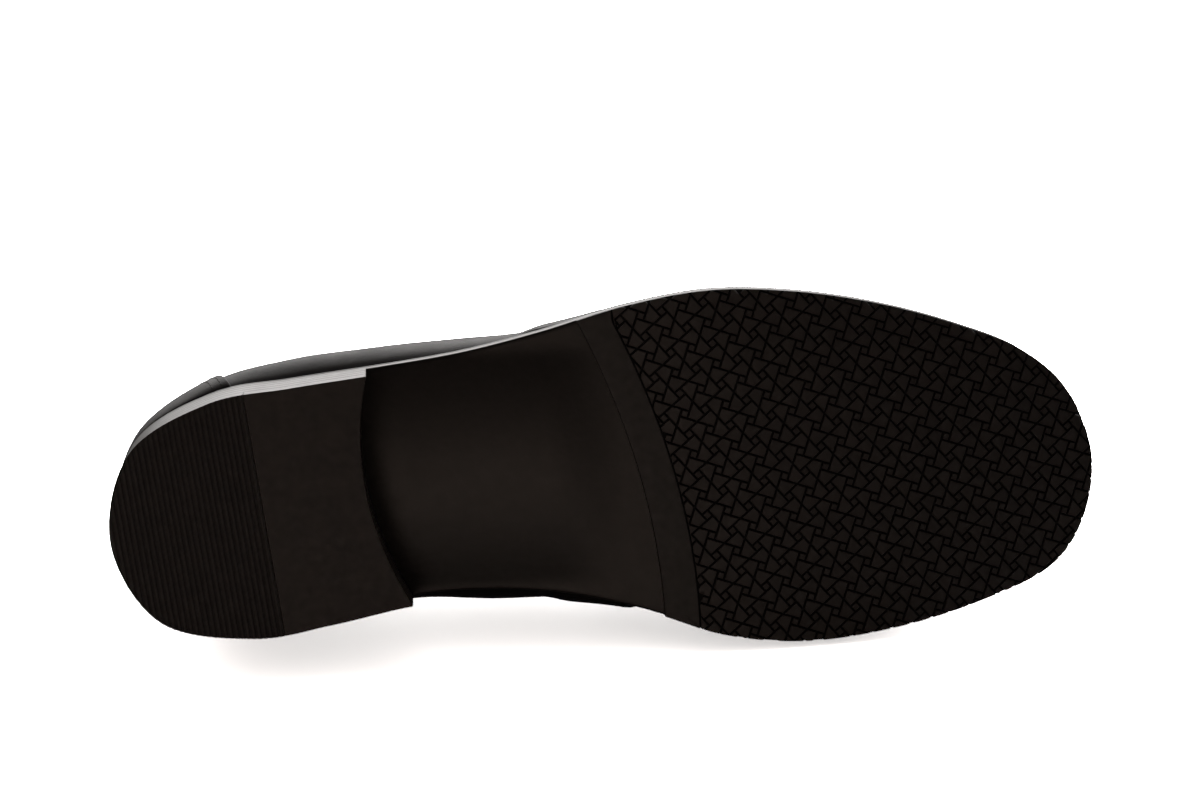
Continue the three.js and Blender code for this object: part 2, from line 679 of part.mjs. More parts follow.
// The rolled binding along the topline, from one facing's top corner round the heel to the other.
function buildBinding() {
  const end = 5.15;
  const count = 36;
  const innerEdge = -0.5;
  const outerEdge = OUTER_OFFSET + LEATHER_T + 0.5;
  const rings = span(-end, end, count, (t) => {
    const v = topEdge(Math.abs(t));
    const station = t;
    const base = last(station, v);
    const out = normal(station, Math.min(v, 0.98));
    const up = last(station, v).sub(last(station, v - 0.02)).normalize();
    const middle = (innerEdge + outerEdge) / 2;
    const half = (outerEdge - innerEdge) / 2;
    return Array.from({ length: 6 }, (_, k) => {
      const angle = ((k + 0.5) / 6) * 2 * Math.PI;
      const widen = middle + half * Math.cos(angle);
      const lift = 3 * GAP + (BINDING_H / 2) * (1 + Math.sin(angle));
      return base.clone().addScaledVector(out, widen).addScaledVector(up, lift);
    });
  });
  add("topline_binding", sweep(rings), LEATHER);
}

// The tongue follows the last under the facings, then rises past them. side 0 is its outer face.
const TONGUE_FRONT_T = 8.75;
const TONGUE_BEND_T = turning(
  TOP_EYELET_T,
  THROAT_T,
  (t) => last(t, 1).distanceTo(last(TOP_EYELET_T, 1)) < TONGUE_LEAVES,
);
const TONGUE_RISE = 34;
function tongueSpot(f, g, depth) {
  const bend = 0.72; // share of the length at which it leaves the last
  const t = lerp(TONGUE_FRONT_T, TONGUE_BEND_T, clamp01(f / bend));
  const halfWidth = 19.5 - 5 * smooth(0.6, 0.85, f);
  const sunk = lerp(2 * LACE_R + LACE_CLEARANCE, GAP, smooth(7.8, 8.5, t));
  const station = g <= 0 ? t : across(t);
  const distance = Math.abs(g) * halfWidth;
  const v = distance < 0.01 ? 1 : vShortOf(station, distance);
  const spot = skin(station, v, -(sunk + depth));
  const past = clamp01((f - bend) / (1 - bend));
  const slope = lerp(0.3, 1.05, past);
  const reach = TONGUE_RISE * past;
  const flatten = 0.75 * smooth(0.25, 1, past);
  const crest = skin(t, 1, -(sunk + depth));
  spot.x = lerp(spot.x, crest.x, flatten) - reach * Math.cos(slope);
  spot.y = lerp(spot.y, crest.y + 21 * g, flatten);
  spot.z = lerp(spot.z, crest.z, flatten) + reach * Math.sin(slope);
  return spot;
}
function buildTongue() {
  const [rows, columns] = [16, 8];
  const grid = (depth) => (i, j) => tongueSpot(i / rows, (2 * j) / columns - 1, depth);
  const leather = 1.2;
  add("tongue", slab(rows, columns, grid(0), grid(leather)), LEATHER);
  add("tongue_lining", slab(rows, columns, grid(leather + 2 * GAP), grid(TONGUE_T + GAP)), LINING);
}

function buildEyelets() {
  for (const inner of [false, true]) {
    const side = inner ? "medial" : "lateral";
    eyeletFrames(inner).forEach(({ top, point, out }, k) => {
      const barrel = EYELET_BORE_R + EYELET_WALL;
      const profile = [
        [EYELET_BORE_R, 0],
        [barrel, 0],
        [barrel, top + GAP],
        [EYELET_FLANGE_R, top + GAP],
        [barrel + 0.4, top + GAP + EYELET_FLANGE_T],
        [EYELET_BORE_R, top + GAP + EYELET_FLANGE_T / 2],
        [EYELET_BORE_R, 0],
      ];
      add(`eyelet_${side}_${k + 1}`, lathed(profile, point, out, 8), BLACK_METAL);
    });
  }
}

// The lace crosses over each pair of eyelets, and runs under the facings from one pair to the next.
function lacePoints() {
  const outer = eyeletFrames(false);
  const inner = eyeletFrames(true);
  const clear = LACE_R + GAP;
  const off = (frame, v, d) => skin(frame.station, v, d);
  const points = [];
  const tuckedV = (station) => vShortOf(station, FACING_GAP + EYELET_INSET + 6.5);
  for (const t of [6.1, 6.45, 6.8, 7.15]) points.push(skin(t, tuckedV(t), -clear - 0.5));
  const through = (frame) => {
    const bar = frame.top + EYELET_FLANGE_T + GAP + clear;
    return [
      frame.point.clone().addScaledVector(frame.out, -clear - 0.9),
      frame.point.clone().addScaledVector(frame.out, frame.top / 2),
      frame.point.clone().addScaledVector(frame.out, frame.top + EYELET_FLANGE_T + 0.4),
      off(frame, lerp(frame.v, frame.edge, 0.3), bar + 0.9),
      off(frame, frame.edge, bar),
    ];
  };
  outer.forEach((left, k) => {
    const right = inner[k];
    points.push(...through(left), off(left, 1, left.top - 1.6), ...through(right).reverse());
    const next = outer[k + 1];
    if (next) {
      const t = (left.t + next.t) / 2;
      points.push(skin(t, 1, -clear - 0.3));
    } else {
      const end = across(left.t - 0.3);
      points.push(skin(end, vShortOf(end, 24), -clear - 0.8));
    }
  });
  return points;
}
function buildLace() {
  const curve = new THREE.CatmullRomCurve3(lacePoints(), false, "centripetal");
  const corners = span(0, 5 / 6, 5, (turn) => turn * 2 * Math.PI);
  const section = new THREE.Shape(
    corners.map((angle) => new THREE.Vector2(LACE_R * Math.cos(angle), LACE_R * Math.sin(angle))),
  );
  const geometry = new THREE.ExtrudeGeometry(section, {
    steps: 130,
    extrudePath: curve,
    bevelEnabled: false,
  });
  geometry.deleteAttribute("normal");
  geometry.deleteAttribute("uv");
  add("lace", faceOut(mergeVertices(geometry, 1e-4)), LACE);
}

buildHeel();
buildSole();
buildUpper();
buildBinding();
buildTongue();
buildEyelets();
buildLace();

// The origin is the middle of the shoe's box, on the ground.
const box = new THREE.Box3().setFromObject(shoe);
const middle = box.getCenter(vec());
shoe.position.set(-middle.x, -middle.y, -box.min.z);

export default shoe;
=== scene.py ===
"""Right-foot bowling shoe: its leathers, sole, tread and lace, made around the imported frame."""
import functools
import math

import bmesh
import bpy
import numpy as np
from bpy.props import FloatProperty, FloatVectorProperty, PointerProperty
from mathutils import Matrix, Vector


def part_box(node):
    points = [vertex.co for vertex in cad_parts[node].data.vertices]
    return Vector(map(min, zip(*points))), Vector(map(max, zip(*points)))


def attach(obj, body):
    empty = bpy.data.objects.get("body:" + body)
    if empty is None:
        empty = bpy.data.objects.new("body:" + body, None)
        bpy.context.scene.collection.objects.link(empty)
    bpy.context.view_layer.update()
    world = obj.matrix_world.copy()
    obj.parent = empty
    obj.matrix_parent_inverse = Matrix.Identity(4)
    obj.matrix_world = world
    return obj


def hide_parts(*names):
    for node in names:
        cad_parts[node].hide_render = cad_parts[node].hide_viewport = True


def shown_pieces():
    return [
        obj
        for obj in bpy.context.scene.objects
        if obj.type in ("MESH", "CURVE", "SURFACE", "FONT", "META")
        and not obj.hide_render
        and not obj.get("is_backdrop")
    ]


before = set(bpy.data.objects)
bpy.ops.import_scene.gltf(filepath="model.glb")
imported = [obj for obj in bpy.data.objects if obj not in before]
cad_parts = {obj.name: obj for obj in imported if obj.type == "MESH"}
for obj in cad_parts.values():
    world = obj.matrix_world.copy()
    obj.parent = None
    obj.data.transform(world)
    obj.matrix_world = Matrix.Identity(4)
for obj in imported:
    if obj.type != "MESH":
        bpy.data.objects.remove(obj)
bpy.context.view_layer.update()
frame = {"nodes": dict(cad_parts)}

bl_info = {
    "name": "Bowling shoe",
    "version": (1, 0, 0),
    "blender": (4, 5, 0),
    "location": "3D View > Sidebar > Shoe",
    "description": "Makes a laced leather bowling shoe piece by piece",
    "category": "Add Mesh",
}

MM = 0.001

# ---- Sizes shared by the pieces, in millimetres ----------------------------------------------
HALF = 14  # station of the toe tip; station 2 * HALF - t lies across from station t
SOLE_LENGTH = 303.8
BALL_SHARE = 0.344  # the ball lies this share of the sole's length behind the toe
HEEL_HEIGHT = 21.0
HEEL_PITCH = 1.0
TOP_PIECE_T = 6.0
HEEL_LIFTS = 3
BREAST_HOLLOW = 7.2
TIP_LENGTH = 46.8
TIP_SKEW = 7.7
TREAD_T = 2.5
TREAD_BULGE = 5.2
TOE_SPRING = 10.0
OUTSOLE_T = 4.0
WELT_T = 2.5
LINING_T = 2.2
LEATHER_T = 1.4
OVERLAY_T = 1.2  # leather of the counter patch and the tongue
GAP = 0.3
FACING_GAP = 9.0
EYELET_INSET = 8.0
EYELET_PAIRS = 5
LACE_R = 1.2
LACE_ROOM = 7.4
TONGUE_RISE = 34.0
SEAM_PITCH = 2.4

OUTLINE = np.array(
    [
        [-149.3, 8.1], [-141.9, -19.2], [-117.2, -33.0], [-92, -36.2], [-66, -38.7],
        [-40, -42.0], [-15, -47.4], [10, -54.1], [36, -57.8], [62, -56.0], [88, -50.6],
        [112, -42.6], [133, -32.8], [147.5, -18.6], [154.3, 2.0], [150.5, 22], [139, 36],
        [116, 44.7], [90, 50.4], [62, 52.6], [36, 49.0], [12, 40.2], [-12, 34.3],
        [-36, 32.3], [-59, 33.3], [-84, 37.4], [-108.2, 40.0], [-136.1, 33.0],
    ]
)
FOOT_INSET = np.array(
    [5.0, 5.0, 4.6, 4.4, 4.2, 4.2, 5.0, 6.5, 7.8, 8.2, 8.2, 8.2, 8.2, 8.2, 8.2, 8.2, 8.2, 8.2]
    + [8.2, 7.8, 6.8, 5.0, 3.8, 3.2, 3.6, 4.2, 4.6, 5.0]
)[:, None]
# x, y outer, y inner, height above the welt, side rise, bulge outer, bulge inner, shoulder, drop
CREST_HALF = np.array(
    [
        [-139.5, 6.9, 6.9, 62.5, 22, 3.5, 3.5, 3, 16],
        [-133, -8.0, 20.0, 61, 22, 3.5, 6, 3, 16],
        [-114, -19.7, 27.3, 55, 20, 8, 10, 3, 15],
        [-90, -25.2, 26.8, 51.7, 19, 12, 13, 3, 14],
        [-64, -27.0, 22.5, 56.3, 20, 11, 15, 3, 13],
        [-42, -20.0, 13.0, 72, 24, 8.5, 22, 7, 8],
        [-20, -3.0, -3.0, 79.5, 27, 2.5, 19.5, 21, 0],
        [8, -2.0, -2.0, 71.4, 27, 2, 14, 24, 0],
        [34, -1.0, -1.0, 61.5, 26, 4, 8, 26, 0],
        [60, 0.5, 0.5, 51.5, 24, 3, 5, 26, 0],
        [86, 2.0, 2.0, 42.8, 22, 3, 3, 26, 0],
        [107, 3.0, 3.0, 36.5, 20, 3, 3, 24, 0],
        [121, 3.5, 3.5, 32, 18, 3, 3, 19, 0],
        [129, 4.0, 4.0, 29, 17, 2.5, 2.5, 14, 0],
        [132, 4.2, 4.2, 27.8, 16, 2, 2, 12, 0],
    ]
)


def ring_at(rows, t):
    """Catmull-Rom spline through rows of numbers that close on themselves."""
    t = np.asarray(t, float)
    i = np.floor(t).astype(int)
    f = (t - i)[..., None]
    a, b, c, d = (rows[(i + k) % len(rows)] for k in (-1, 0, 1, 2))
    square = (2 * a - 5 * b + 4 * c - d) * f**2
    cube = (3 * b - a - 3 * c + d) * f**3
    return 0.5 * (2 * b + (c - a) * f + square + cube)


def crest_rows():
    """The crest's rows for both sides: the outer half, then the inner half mirrored in order."""
    outer = CREST_HALF[:, [0, 1, 3, 4, 5, 7, 8]]
    inner = CREST_HALF[:, [0, 2, 3, 4, 6, 7, 8]]
    return np.vstack([outer, inner[HALF - 1 : 0 : -1]])


def centre_on_frame(outline, crest):
    """Moves the outline and the crest so that the outline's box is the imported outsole's.

    The last value is the move, in millimetres along X and Y.
    """
    dense = ring_at(outline, np.linspace(0, 2 * HALF, 2241))
    low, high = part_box("outsole")
    middle = np.array([(low.x + high.x) / 2, (low.y + high.y) / 2]) / MM
    shift = middle - (dense.min(0) + dense.max(0)) / 2
    crest = crest.copy()
    crest[:, :2] += shift
    return outline + shift, crest, shift


OUTLINE, CREST, FRAME_SHIFT = centre_on_frame(OUTLINE, crest_rows())
HEEL_BACK_X = OUTLINE[0, 0]
BREAST_X = OUTLINE[4, 0] - 4
SEAT_END_X = BREAST_X - 14
TOE_X = OUTLINE[HALF, 0]
BALL_X = TOE_X - BALL_SHARE * SOLE_LENGTH


# ---- The shoe's surfaces ---------------------------------------------------------------------
def smooth(low, high, value):
    """Eases from 0 at low to 1 at high."""
    f = np.clip((value - low) / (high - low), 0, 1)
    return f * f * (3 - 2 * f)


def lerp(a, b, f):
    """Straight mix of a and b at the share f."""
    return a + (b - a) * f


def unit(v):
    """Vectors divided by their own lengths."""
    return v / np.maximum(np.linalg.norm(v, axis=-1, keepdims=True), 1e-12)


def outline(t, inset=0.0):
    """A spot on the sole's edge at station t, moved inwards along the edge's normal by inset."""
    t = np.asarray(t, float)
    along = unit(ring_at(OUTLINE, t + 0.02) - ring_at(OUTLINE, t - 0.02))
    inwards = np.stack([-along[..., 1], along[..., 0]], -1)
    return ring_at(OUTLINE, t) + inwards * np.asarray(inset, float)[..., None]


def underside(x):
    """Height of the outsole's underside at x.

    It falls straight along the heel, takes a cubic through the arch and rises by a parabola from
    the ball to the toe.
    """
    x = np.asarray(x, float)
    seat = SEAT_END_X - HEEL_BACK_X
    arch = BALL_X - SEAT_END_X
    f = np.clip((x - SEAT_END_X) / arch, 0, 1)
    start = 2 * f**3 - 3 * f**2 + 1
    slope = (f**3 - 2 * f**2 + f) * arch * (-HEEL_PITCH / seat)
    middle = start * (HEEL_HEIGHT - HEEL_PITCH) + slope + (1 - start) * TREAD_T
    heel = HEEL_HEIGHT - HEEL_PITCH * (x - HEEL_BACK_X) / seat
    toe = TREAD_T + TOE_SPRING * ((x - BALL_X) / (TOE_X - BALL_X)) ** 2
    return np.where(x < SEAT_END_X, heel, np.where(x < BALL_X, middle, toe))


def welt_top(x):
    """Height of the welt's upper face at x: the underside and the two layers on it."""
    return underside(x) + OUTSOLE_T + WELT_T


def last(t, v):
    """The inside of the upper: a cubic Bezier from the foot on the welt, v 0, to the crest, v 1."""
    t, v = np.broadcast_arrays(np.asarray(t, float), np.asarray(v, float))
    b = outline(t, ring_at(FOOT_INSET, t)[..., 0])
    cx, cy, height, rise, bulge, shoulder, drop = np.moveaxis(ring_at(CREST, t), -1, 0)
    c = np.stack([cx, cy], -1)
    out = unit(b - c)
    base_z = welt_top(b[..., 0]) + GAP
    crest_z = welt_top(cx) + height
    p0 = np.concatenate([b, base_z[..., None]], -1)
    p1 = np.concatenate([b + out * bulge[..., None], (base_z + rise)[..., None]], -1)
    p2 = np.concatenate([c + out * shoulder[..., None], (crest_z - drop)[..., None]], -1)
    p3 = np.concatenate([c, crest_z[..., None]], -1)
    v = v[..., None]
    w = 1 - v
    return w**3 * p0 + 3 * v * w**2 * p1 + 3 * v * v * w * p2 + v**3 * p3


def one_normal(t, v):
    """Cross product of the last's steps along t and along v, kept off the very crest."""
    w = np.minimum(v, 0.985)
    along = last(t + 0.02, w) - last(t - 0.02, w)
    up = last(t, w + 0.01) - last(t, np.maximum(0, w - 0.01))
    return unit(np.cross(along, up))


def normal(t, v):
    """Outward normal of the last; level at the foot, and shared by both sides along the ridge."""
    t, v = np.broadcast_arrays(np.asarray(t, float), np.asarray(v, float))
    n = one_normal(t, v)
    both = unit(n + one_normal(2 * HALF - t, v))
    ridge = (v > 0.999) & (ring_at(CREST, t)[..., 0] > CREST[6, 0])
    level = n.copy()
    level[..., 2] *= smooth(0, 0.1, v)
    return np.where(ridge[..., None], both, unit(level))


def skin(t, v, offset):
    """A spot a given distance off the last; near the foot it keeps its height above the welt."""
    t, v = np.broadcast_arrays(np.asarray(t, float), np.asarray(v, float))
    base = last(t, v)
    spot = base + normal(t, v) * np.asarray(offset, float)[..., None]
    foot = 1 - smooth(0, 0.15, v)
    spot[..., 2] += foot * (welt_top(spot[..., 0]) - welt_top(base[..., 0]))
    return spot


def v_short_of(t, distance):
    """The v at which the last is a given distance short of its crest, found by halving."""
    t, distance = np.broadcast_arrays(np.asarray(t, float), np.asarray(distance, float))
    crest = last(t, np.ones_like(t))
    low, high = np.zeros_like(t), np.ones_like(t)
    for _ in range(22):
        middle = (low + high) / 2
        far = np.linalg.norm(last(t, middle) - crest, axis=-1) > distance
        low = np.where(far, middle, low)
        high = np.where(far, high, middle)
    return high


# Offsets of the upper's layers off the last, and the lines where its panels end.
OUTER_OFFSET = LINING_T + GAP / 3
OVERLAY_OFFSET = OUTER_OFFSET + LEATHER_T + GAP / 6
THROAT_T = 8.3
QUARTER_FOOT_T = 6.7
COUNTER_TOP_V = 0.75


def quarter_front(v):
    """Station of the quarter's front edge: it runs forward with the height, less near the top."""
    return lerp(QUARTER_FOOT_T, THROAT_T, v**1.25 - 0.12 * smooth(0.82, 1, v))


def vamp_rear(v):
    """Station of the vamp's rear edge, which runs forward under the quarter's front edge."""
    return lerp(QUARTER_FOOT_T - 0.45, THROAT_T - 0.2, v**1.25)


def counter_front(v):
    """Station of the counter patch's front edge, which leans back with the height."""
    return lerp(2.25, 1.1, v**1.6)


def facing_short(t):
    """How far the facings' edge stands short of the crest, along the facings and at their front."""
    front = 5 * smooth(THROAT_T - 0.6, THROAT_T - 0.2, t)
    return FACING_GAP * smooth(4.7, 5.75, t) + front


def top_edge(t):
    """The v of the quarter's top edge: 1 on the topline, less where the facings stop short."""
    short = facing_short(t)
    return np.where(short < 0.01, 1.0, v_short_of(t, short))


def quarter_low(t, v0):
    """Height of the quarter's inner face: it steps up where it lies on the vamp."""
    front = quarter_front(v0)
    return lerp(OUTER_OFFSET, OVERLAY_OFFSET, smooth(front - 1.2, front - 0.75, t))


def meet_vamp(v0):
    """The lining's front edge, where its own share of the height meets the vamp's rear edge."""
    t = vamp_rear(v0)
    for _ in range(8):
        t = vamp_rear(v0 * top_edge(t))
    return t - 0.02


# ---- Making meshes ---------------------------------------------------------------------------
def graded(count, edge):
    """Shares from 0 to 1, evenly spaced, with a few extra close to both ends."""
    fine = np.array([0, 0.12, 0.35, 0.7]) * edge
    return np.concatenate([fine, np.linspace(edge, 1 - edge, count), 1 - fine[::-1]])


def finish_mesh(
    name, points, faces, materials, weld=2e-6, thin=5e-7, islands=False, sharp=None, uv=None
):
    """Puts points in millimetres and faces into a mesh object, with its faces outwards.

    Points nearer than weld are merged and edges shorter than thin dissolved, both in metres.
    islands turns each loose part outwards by itself. sharp is the angle in degrees past which an
    edge isn't shaded smooth, and uv gives each point its place on the UV map.
    """
    mesh = bpy.data.meshes.new(name)
    mesh.from_pydata((np.asarray(points) * MM).tolist(), [], faces)
    if uv is not None:
        loops = np.zeros(len(mesh.loops), np.int32)
        mesh.loops.foreach_get("vertex_index", loops)
        layer = mesh.uv_layers.new(name="UVMap")
        layer.data.foreach_set("uv", uv[loops].astype(np.float32).ravel())
    work = bmesh.new()
    work.from_mesh(mesh)
    if weld:
        bmesh.ops.remove_doubles(work, verts=work.verts, dist=weld)
    if thin:
        bmesh.ops.dissolve_degenerate(work, edges=work.edges, dist=thin)
    if islands:
        bmesh.ops.recalc_face_normals(work, faces=work.faces)
    elif work.calc_volume(signed=True) < 0:
        bmesh.ops.reverse_faces(work, faces=work.faces)
    work.to_mesh(mesh)
    work.free()
    mesh.shade_smooth()
    if sharp:
        mesh.set_sharp_from_angle(angle=math.radians(sharp))
    for material in materials:
        mesh.materials.append(material)
    piece = bpy.data.objects.new(name, mesh)
    bpy.context.scene.collection.objects.link(piece)
    return piece


def grid_array(rows, columns, start=0, flip=False):
    """Quads over a grid of rows by columns points, numbered row by row from start."""
    i, j = np.meshgrid(np.arange(rows - 1), np.arange(columns - 1), indexing="ij")
    a = (start + i * columns + j).ravel()
    quads = np.stack([a, a + columns, a + columns + 1, a + 1], 1)
    return quads[:, ::-1] if flip else quads


def grid_faces(grid):
    """The quads over one grid of points, as a list."""
    return grid_array(*grid.shape[:2]).tolist()


def shell(top, bottom):
    """A closed solid between two grids of points: both grids' quads and a wall round all edges."""
    rows, columns = top.shape[:2]
    count = rows * columns
    points = np.concatenate([top.reshape(-1, 3), bottom.reshape(-1, 3)])
    i, j = np.arange(rows - 1), np.arange(columns - 1)
    near, far = i * columns, i * columns + columns - 1
    end = (rows - 1) * columns + j
    faces = [
        grid_array(rows, columns),
        grid_array(rows, columns, count, True),
        np.stack([near, near + count, near + columns + count, near + columns], 1),
        np.stack([far, far + columns, far + columns + count, far + count], 1),
        np.stack([j, j + 1, j + 1 + count, j + count], 1),
        np.stack([end, end + count, end + 1 + count, end + 1], 1),
    ]
    return points, np.concatenate(faces).tolist()


def edge_taper(grid, radius, sides="ijIJ"):
    """0 on the grid's open edges and 1 a radius inside them, along a quarter circle."""
    step_i = np.linalg.norm(np.diff(grid, axis=0), axis=-1)
    step_j = np.linalg.norm(np.diff(grid, axis=1), axis=-1)
    from_i = np.concatenate([np.zeros((1, grid.shape[1])), np.cumsum(step_i, 0)])
    from_j = np.concatenate([np.zeros((grid.shape[0], 1)), np.cumsum(step_j, 1)], 1)
    distances = []
    if "i" in sides:
        distances.append(from_i)
    if "I" in sides:
        distances.append(from_i[-1:] - from_i)
    if "j" in sides:
        distances.append(from_j)
    if "J" in sides:
        distances.append(from_j[:, -1:] - from_j)
    near = np.clip(np.min(distances, 0) / radius, 0, 1)
    return np.sqrt(np.clip(1 - (1 - near) ** 2, 0, 1))


def cut_edge(taper):
    """Share of a leather's thickness left at its cut edge, from the edge's taper."""
    return 0.35 + 0.65 * taper


def leather_sheet(t, v, low, thick, radius=0.8):
    """A leather panel on the last at stations t and heights v, its cut edges rounded."""
    base = skin(t, v, low)
    top = skin(t, v, low + thick * cut_edge(edge_taper(base, radius)))
    return shell(top, base)


def ride_as(piece, slot, *nodes):
    """Fixes a finished piece to the shoe and hides the imported nodes it stands for; slot is not
    used.
    """
    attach(piece, "root")
    if nodes:
        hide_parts(*nodes)
    return piece


def run_of(points):
    """How far along an open line each of its points lies."""
    steps = np.linalg.norm(np.diff(points, axis=0), axis=1)
    return np.concatenate([[0], np.cumsum(steps)])


def at_run(at, run, rows):
    """Rows of numbers given at the places run, read off at the places at."""
    return np.stack([np.interp(at, run, rows[:, k]) for k in range(rows.shape[1])], 1)


def closed_ring(points, count):
    """A closed line through points, spaced evenly along its length."""
    points = np.vstack([points, points[:1]])
    run = run_of(points)
    return at_run(np.linspace(0, run[-1], count, endpoint=False), run, points)


def inwards_of(ring):
    """Normals of a closed line that point to its inside."""
    along = unit(np.roll(ring, -1, 0) - np.roll(ring, 1, 0))
    x, y = ring[:, 0], ring[:, 1]
    area = np.sum(x * np.roll(y, -1) - np.roll(x, -1) * y)
    side = np.stack([-along[:, 1], along[:, 0]], 1)
    return side if area > 0 else -side


def plate(ring, centre, low, high, round_low, round_high, inner_rows=9):
    """A closed layer inside a ring: two faces, a wall, and a quarter circle between each.

    low and high give the heights of its faces at x, y. The faces' rows run from the ring to
    centre, which has a spot for every point of the ring.
    """
    inwards = inwards_of(ring)
    turns = np.radians([0, 22.5, 45, 67.5, 90])
    reach = np.append(1 - np.linspace(0, 0.93, inner_rows), 0.02)
    rows = []

    def row(share, inset, height, drop):
        """Adds the ring moved in by inset and a share of the way to centre, drop off a face."""
        spot = ring + inwards * inset
        spot = spot + (centre - spot) * share
        z = height(spot[:, 0], spot[:, 1]) + drop
        rows.append(np.concatenate([spot, z[:, None]], 1))

    for share in reach:
        row(share, round_high, high, 0)
    for a in turns:
        row(0, round_high * (1 - math.sin(a)), high, -round_high * (1 - math.cos(a)))
    for a in turns[::-1]:
        row(0, round_low * (1 - math.sin(a)), low, round_low * (1 - math.cos(a)))
    for share in reach[::-1]:
        row(share, round_low, low, 0)
    grid = np.stack(rows, 1)
    grid = np.concatenate([grid, grid[:1]])
    return grid.reshape(-1, 3), grid_faces(grid)


def paint_walls(piece, index, limit=0.75):
    """Gives the faces that stand upright another of the piece's materials."""
    mesh = piece.data
    normals = np.zeros(len(mesh.polygons) * 3, np.float32)
    mesh.polygons.foreach_get("normal", normals)
    upright = np.abs(normals.reshape(-1, 3)[:, 2]) < limit
    mesh.polygons.foreach_set("material_index", np.where(upright, index, 0).astype(np.int32))


# ---- Materials -------------------------------------------------------------------------------
def add_node(tree, kind, **inputs):
    """A shader node; its inputs, underscores for blanks, are set to values or linked to sockets."""
    node = tree.nodes.new("ShaderNode" + kind)
    for name, value in inputs.items():
        socket = node.inputs[name.replace("_", " ")]
        if isinstance(value, bpy.types.NodeSocket):
            tree.links.new(value, socket)
        else:
            socket.default_value = value
    return node


def fill_ramp(node, stops):
    """Gives a colour ramp its stops, each a place from 0 to 1 and a colour."""
    elements = node.color_ramp.elements
    while len(elements) < len(stops):
        elements.new(0.5)
    for element, (place, colour) in zip(elements, stops):
        element.position = place
        element.color = (*colour, 1)


def toned(tone, gain):
    """A colour with each of its parts multiplied by gain."""
    return tuple(part * gain for part in tone)


class Finish:
    """A node material with Object coordinates, made a few nodes at a time."""

    def __init__(self, name, color, roughness, specular=0.5, metallic=0.0):
        self.material = bpy.data.materials.new(name)
        self.material.use_nodes = True
        self.material.diffuse_color = (*color, 1)
        self.tree = self.material.node_tree
        self.sockets = self.tree.nodes["Principled BSDF"].inputs
        self.sockets["Base Color"].default_value = (*color, 1)
        self.sockets["Roughness"].default_value = roughness
        self.sockets["Specular IOR Level"].default_value = specular
        self.sockets["Metallic"].default_value = metallic
        self.coordinates = add_node(self.tree, "TexCoord").outputs
        self.relief = None

    def at(self, scale=(1, 1, 1), source="Object"):
        """Coordinates in metres, or of the UV map, multiplied by scale."""
        place = self.coordinates[source]
        return add_node(self.tree, "Mapping", Vector=place, Scale=scale).outputs["Vector"]

    def noise(self, scale, detail=3.0, vector=None):
        """Cloudy noise from 0 to 1 with scale spots to the metre."""
        place = vector or self.at()
        node = add_node(self.tree, "TexNoise", Vector=place, Scale=scale, Detail=detail)
        return node.outputs["Fac"]

    def cells(self, scale, feature="DISTANCE_TO_EDGE"):
        """Distance to the edges or the middles of irregular cells, scale of them to the metre."""
        node = add_node(self.tree, "TexVoronoi", Vector=self.at(), Scale=scale)
        node.feature = feature
        return node.outputs["Distance"]

    def between(self, value, low, high, out_low=0.0, out_high=1.0):
        """A value stretched from low and high to out_low and out_high, and held there."""
        node = add_node(
            self.tree, "MapRange", Value=value,
            From_Min=low, From_Max=high, To_Min=out_low, To_Max=out_high,
        )
        return node.outputs["Result"]

    def colour_by(self, value, *stops):
        """Colours the surface by a value through a ramp of stops."""
        node = add_node(self.tree, "ValToRGB", Fac=value)
        fill_ramp(node, stops)
        self.tree.links.new(node.outputs["Color"], self.sockets["Base Color"])

    def rough_by(self, value, low, high):
        """Lets a value carry the roughness from low to high."""
        self.tree.links.new(self.between(value, 0.25, 0.75, low, high), self.sockets["Roughness"])

    def bump(self, value, distance, strength):
        """Adds a relief whose height is a value times distance, on top of the ones before it."""
        node = add_node(self.tree, "Bump", Height=value, Distance=distance, Strength=strength)
        if self.relief is not None:
            self.tree.links.new(self.relief, node.inputs["Normal"])
        self.relief = node.outputs["Normal"]
        self.tree.links.new(self.relief, self.sockets["Normal"])

    def polish(self, coat, roughness):
        """Lays a clear coat over the finish."""
        self.sockets["Coat Weight"].default_value = coat
        self.sockets["Coat Roughness"].default_value = roughness


@functools.cache
def upper_leather():
    """Black box leather: fine pores and pebbles, a soft polish that varies."""
    tone = tuple(bpy.context.scene.shoe_finish.leather)
    f = Finish("upper_leather", tone, 0.5, 0.22)
    f.colour_by(f.noise(55, 4), (0.3, toned(tone, 0.75)), (0.7, toned(tone, 1.35)))
    f.rough_by(f.noise(120, 5), 0.42, 0.52)
    f.bump(f.noise(30, 2), 0.0006, 0.35)
    f.bump(f.between(f.cells(1250), 0.0, 0.35), 0.00007, 0.55)
    f.bump(f.noise(4200, 2), 0.00003, 0.5)
    return f.material


@functools.cache
def lining_leather():
    """Natural lining leather with a fine suede nap."""
    f = Finish("lining_leather", (0.30, 0.19, 0.105), 0.75, 0.3)
    f.colour_by(f.noise(70, 5), (0.3, (0.25, 0.155, 0.085)), (0.7, (0.36, 0.235, 0.135)))
    f.bump(f.noise(2600, 3), 0.00005, 0.7)
    f.bump(f.cells(900), 0.00004, 0.4)
    return f.material


@functools.cache
def polished_edge():
    """Inked and waxed leather edge: thin layered streaks under a hard polish."""
    f = Finish("polished_sole_edge", (0.017, 0.013, 0.011), 0.26)
    streaks = f.noise(900, 3, f.at((0.05, 0.05, 1.6)))
    f.colour_by(streaks, (0.3, (0.012, 0.009, 0.008)), (0.75, (0.026, 0.02, 0.017)))
    f.rough_by(f.noise(160, 4), 0.32, 0.38)
    f.bump(streaks, 0.00001, 0.4)
    f.polish(0.5, 0.3)
    return f.material


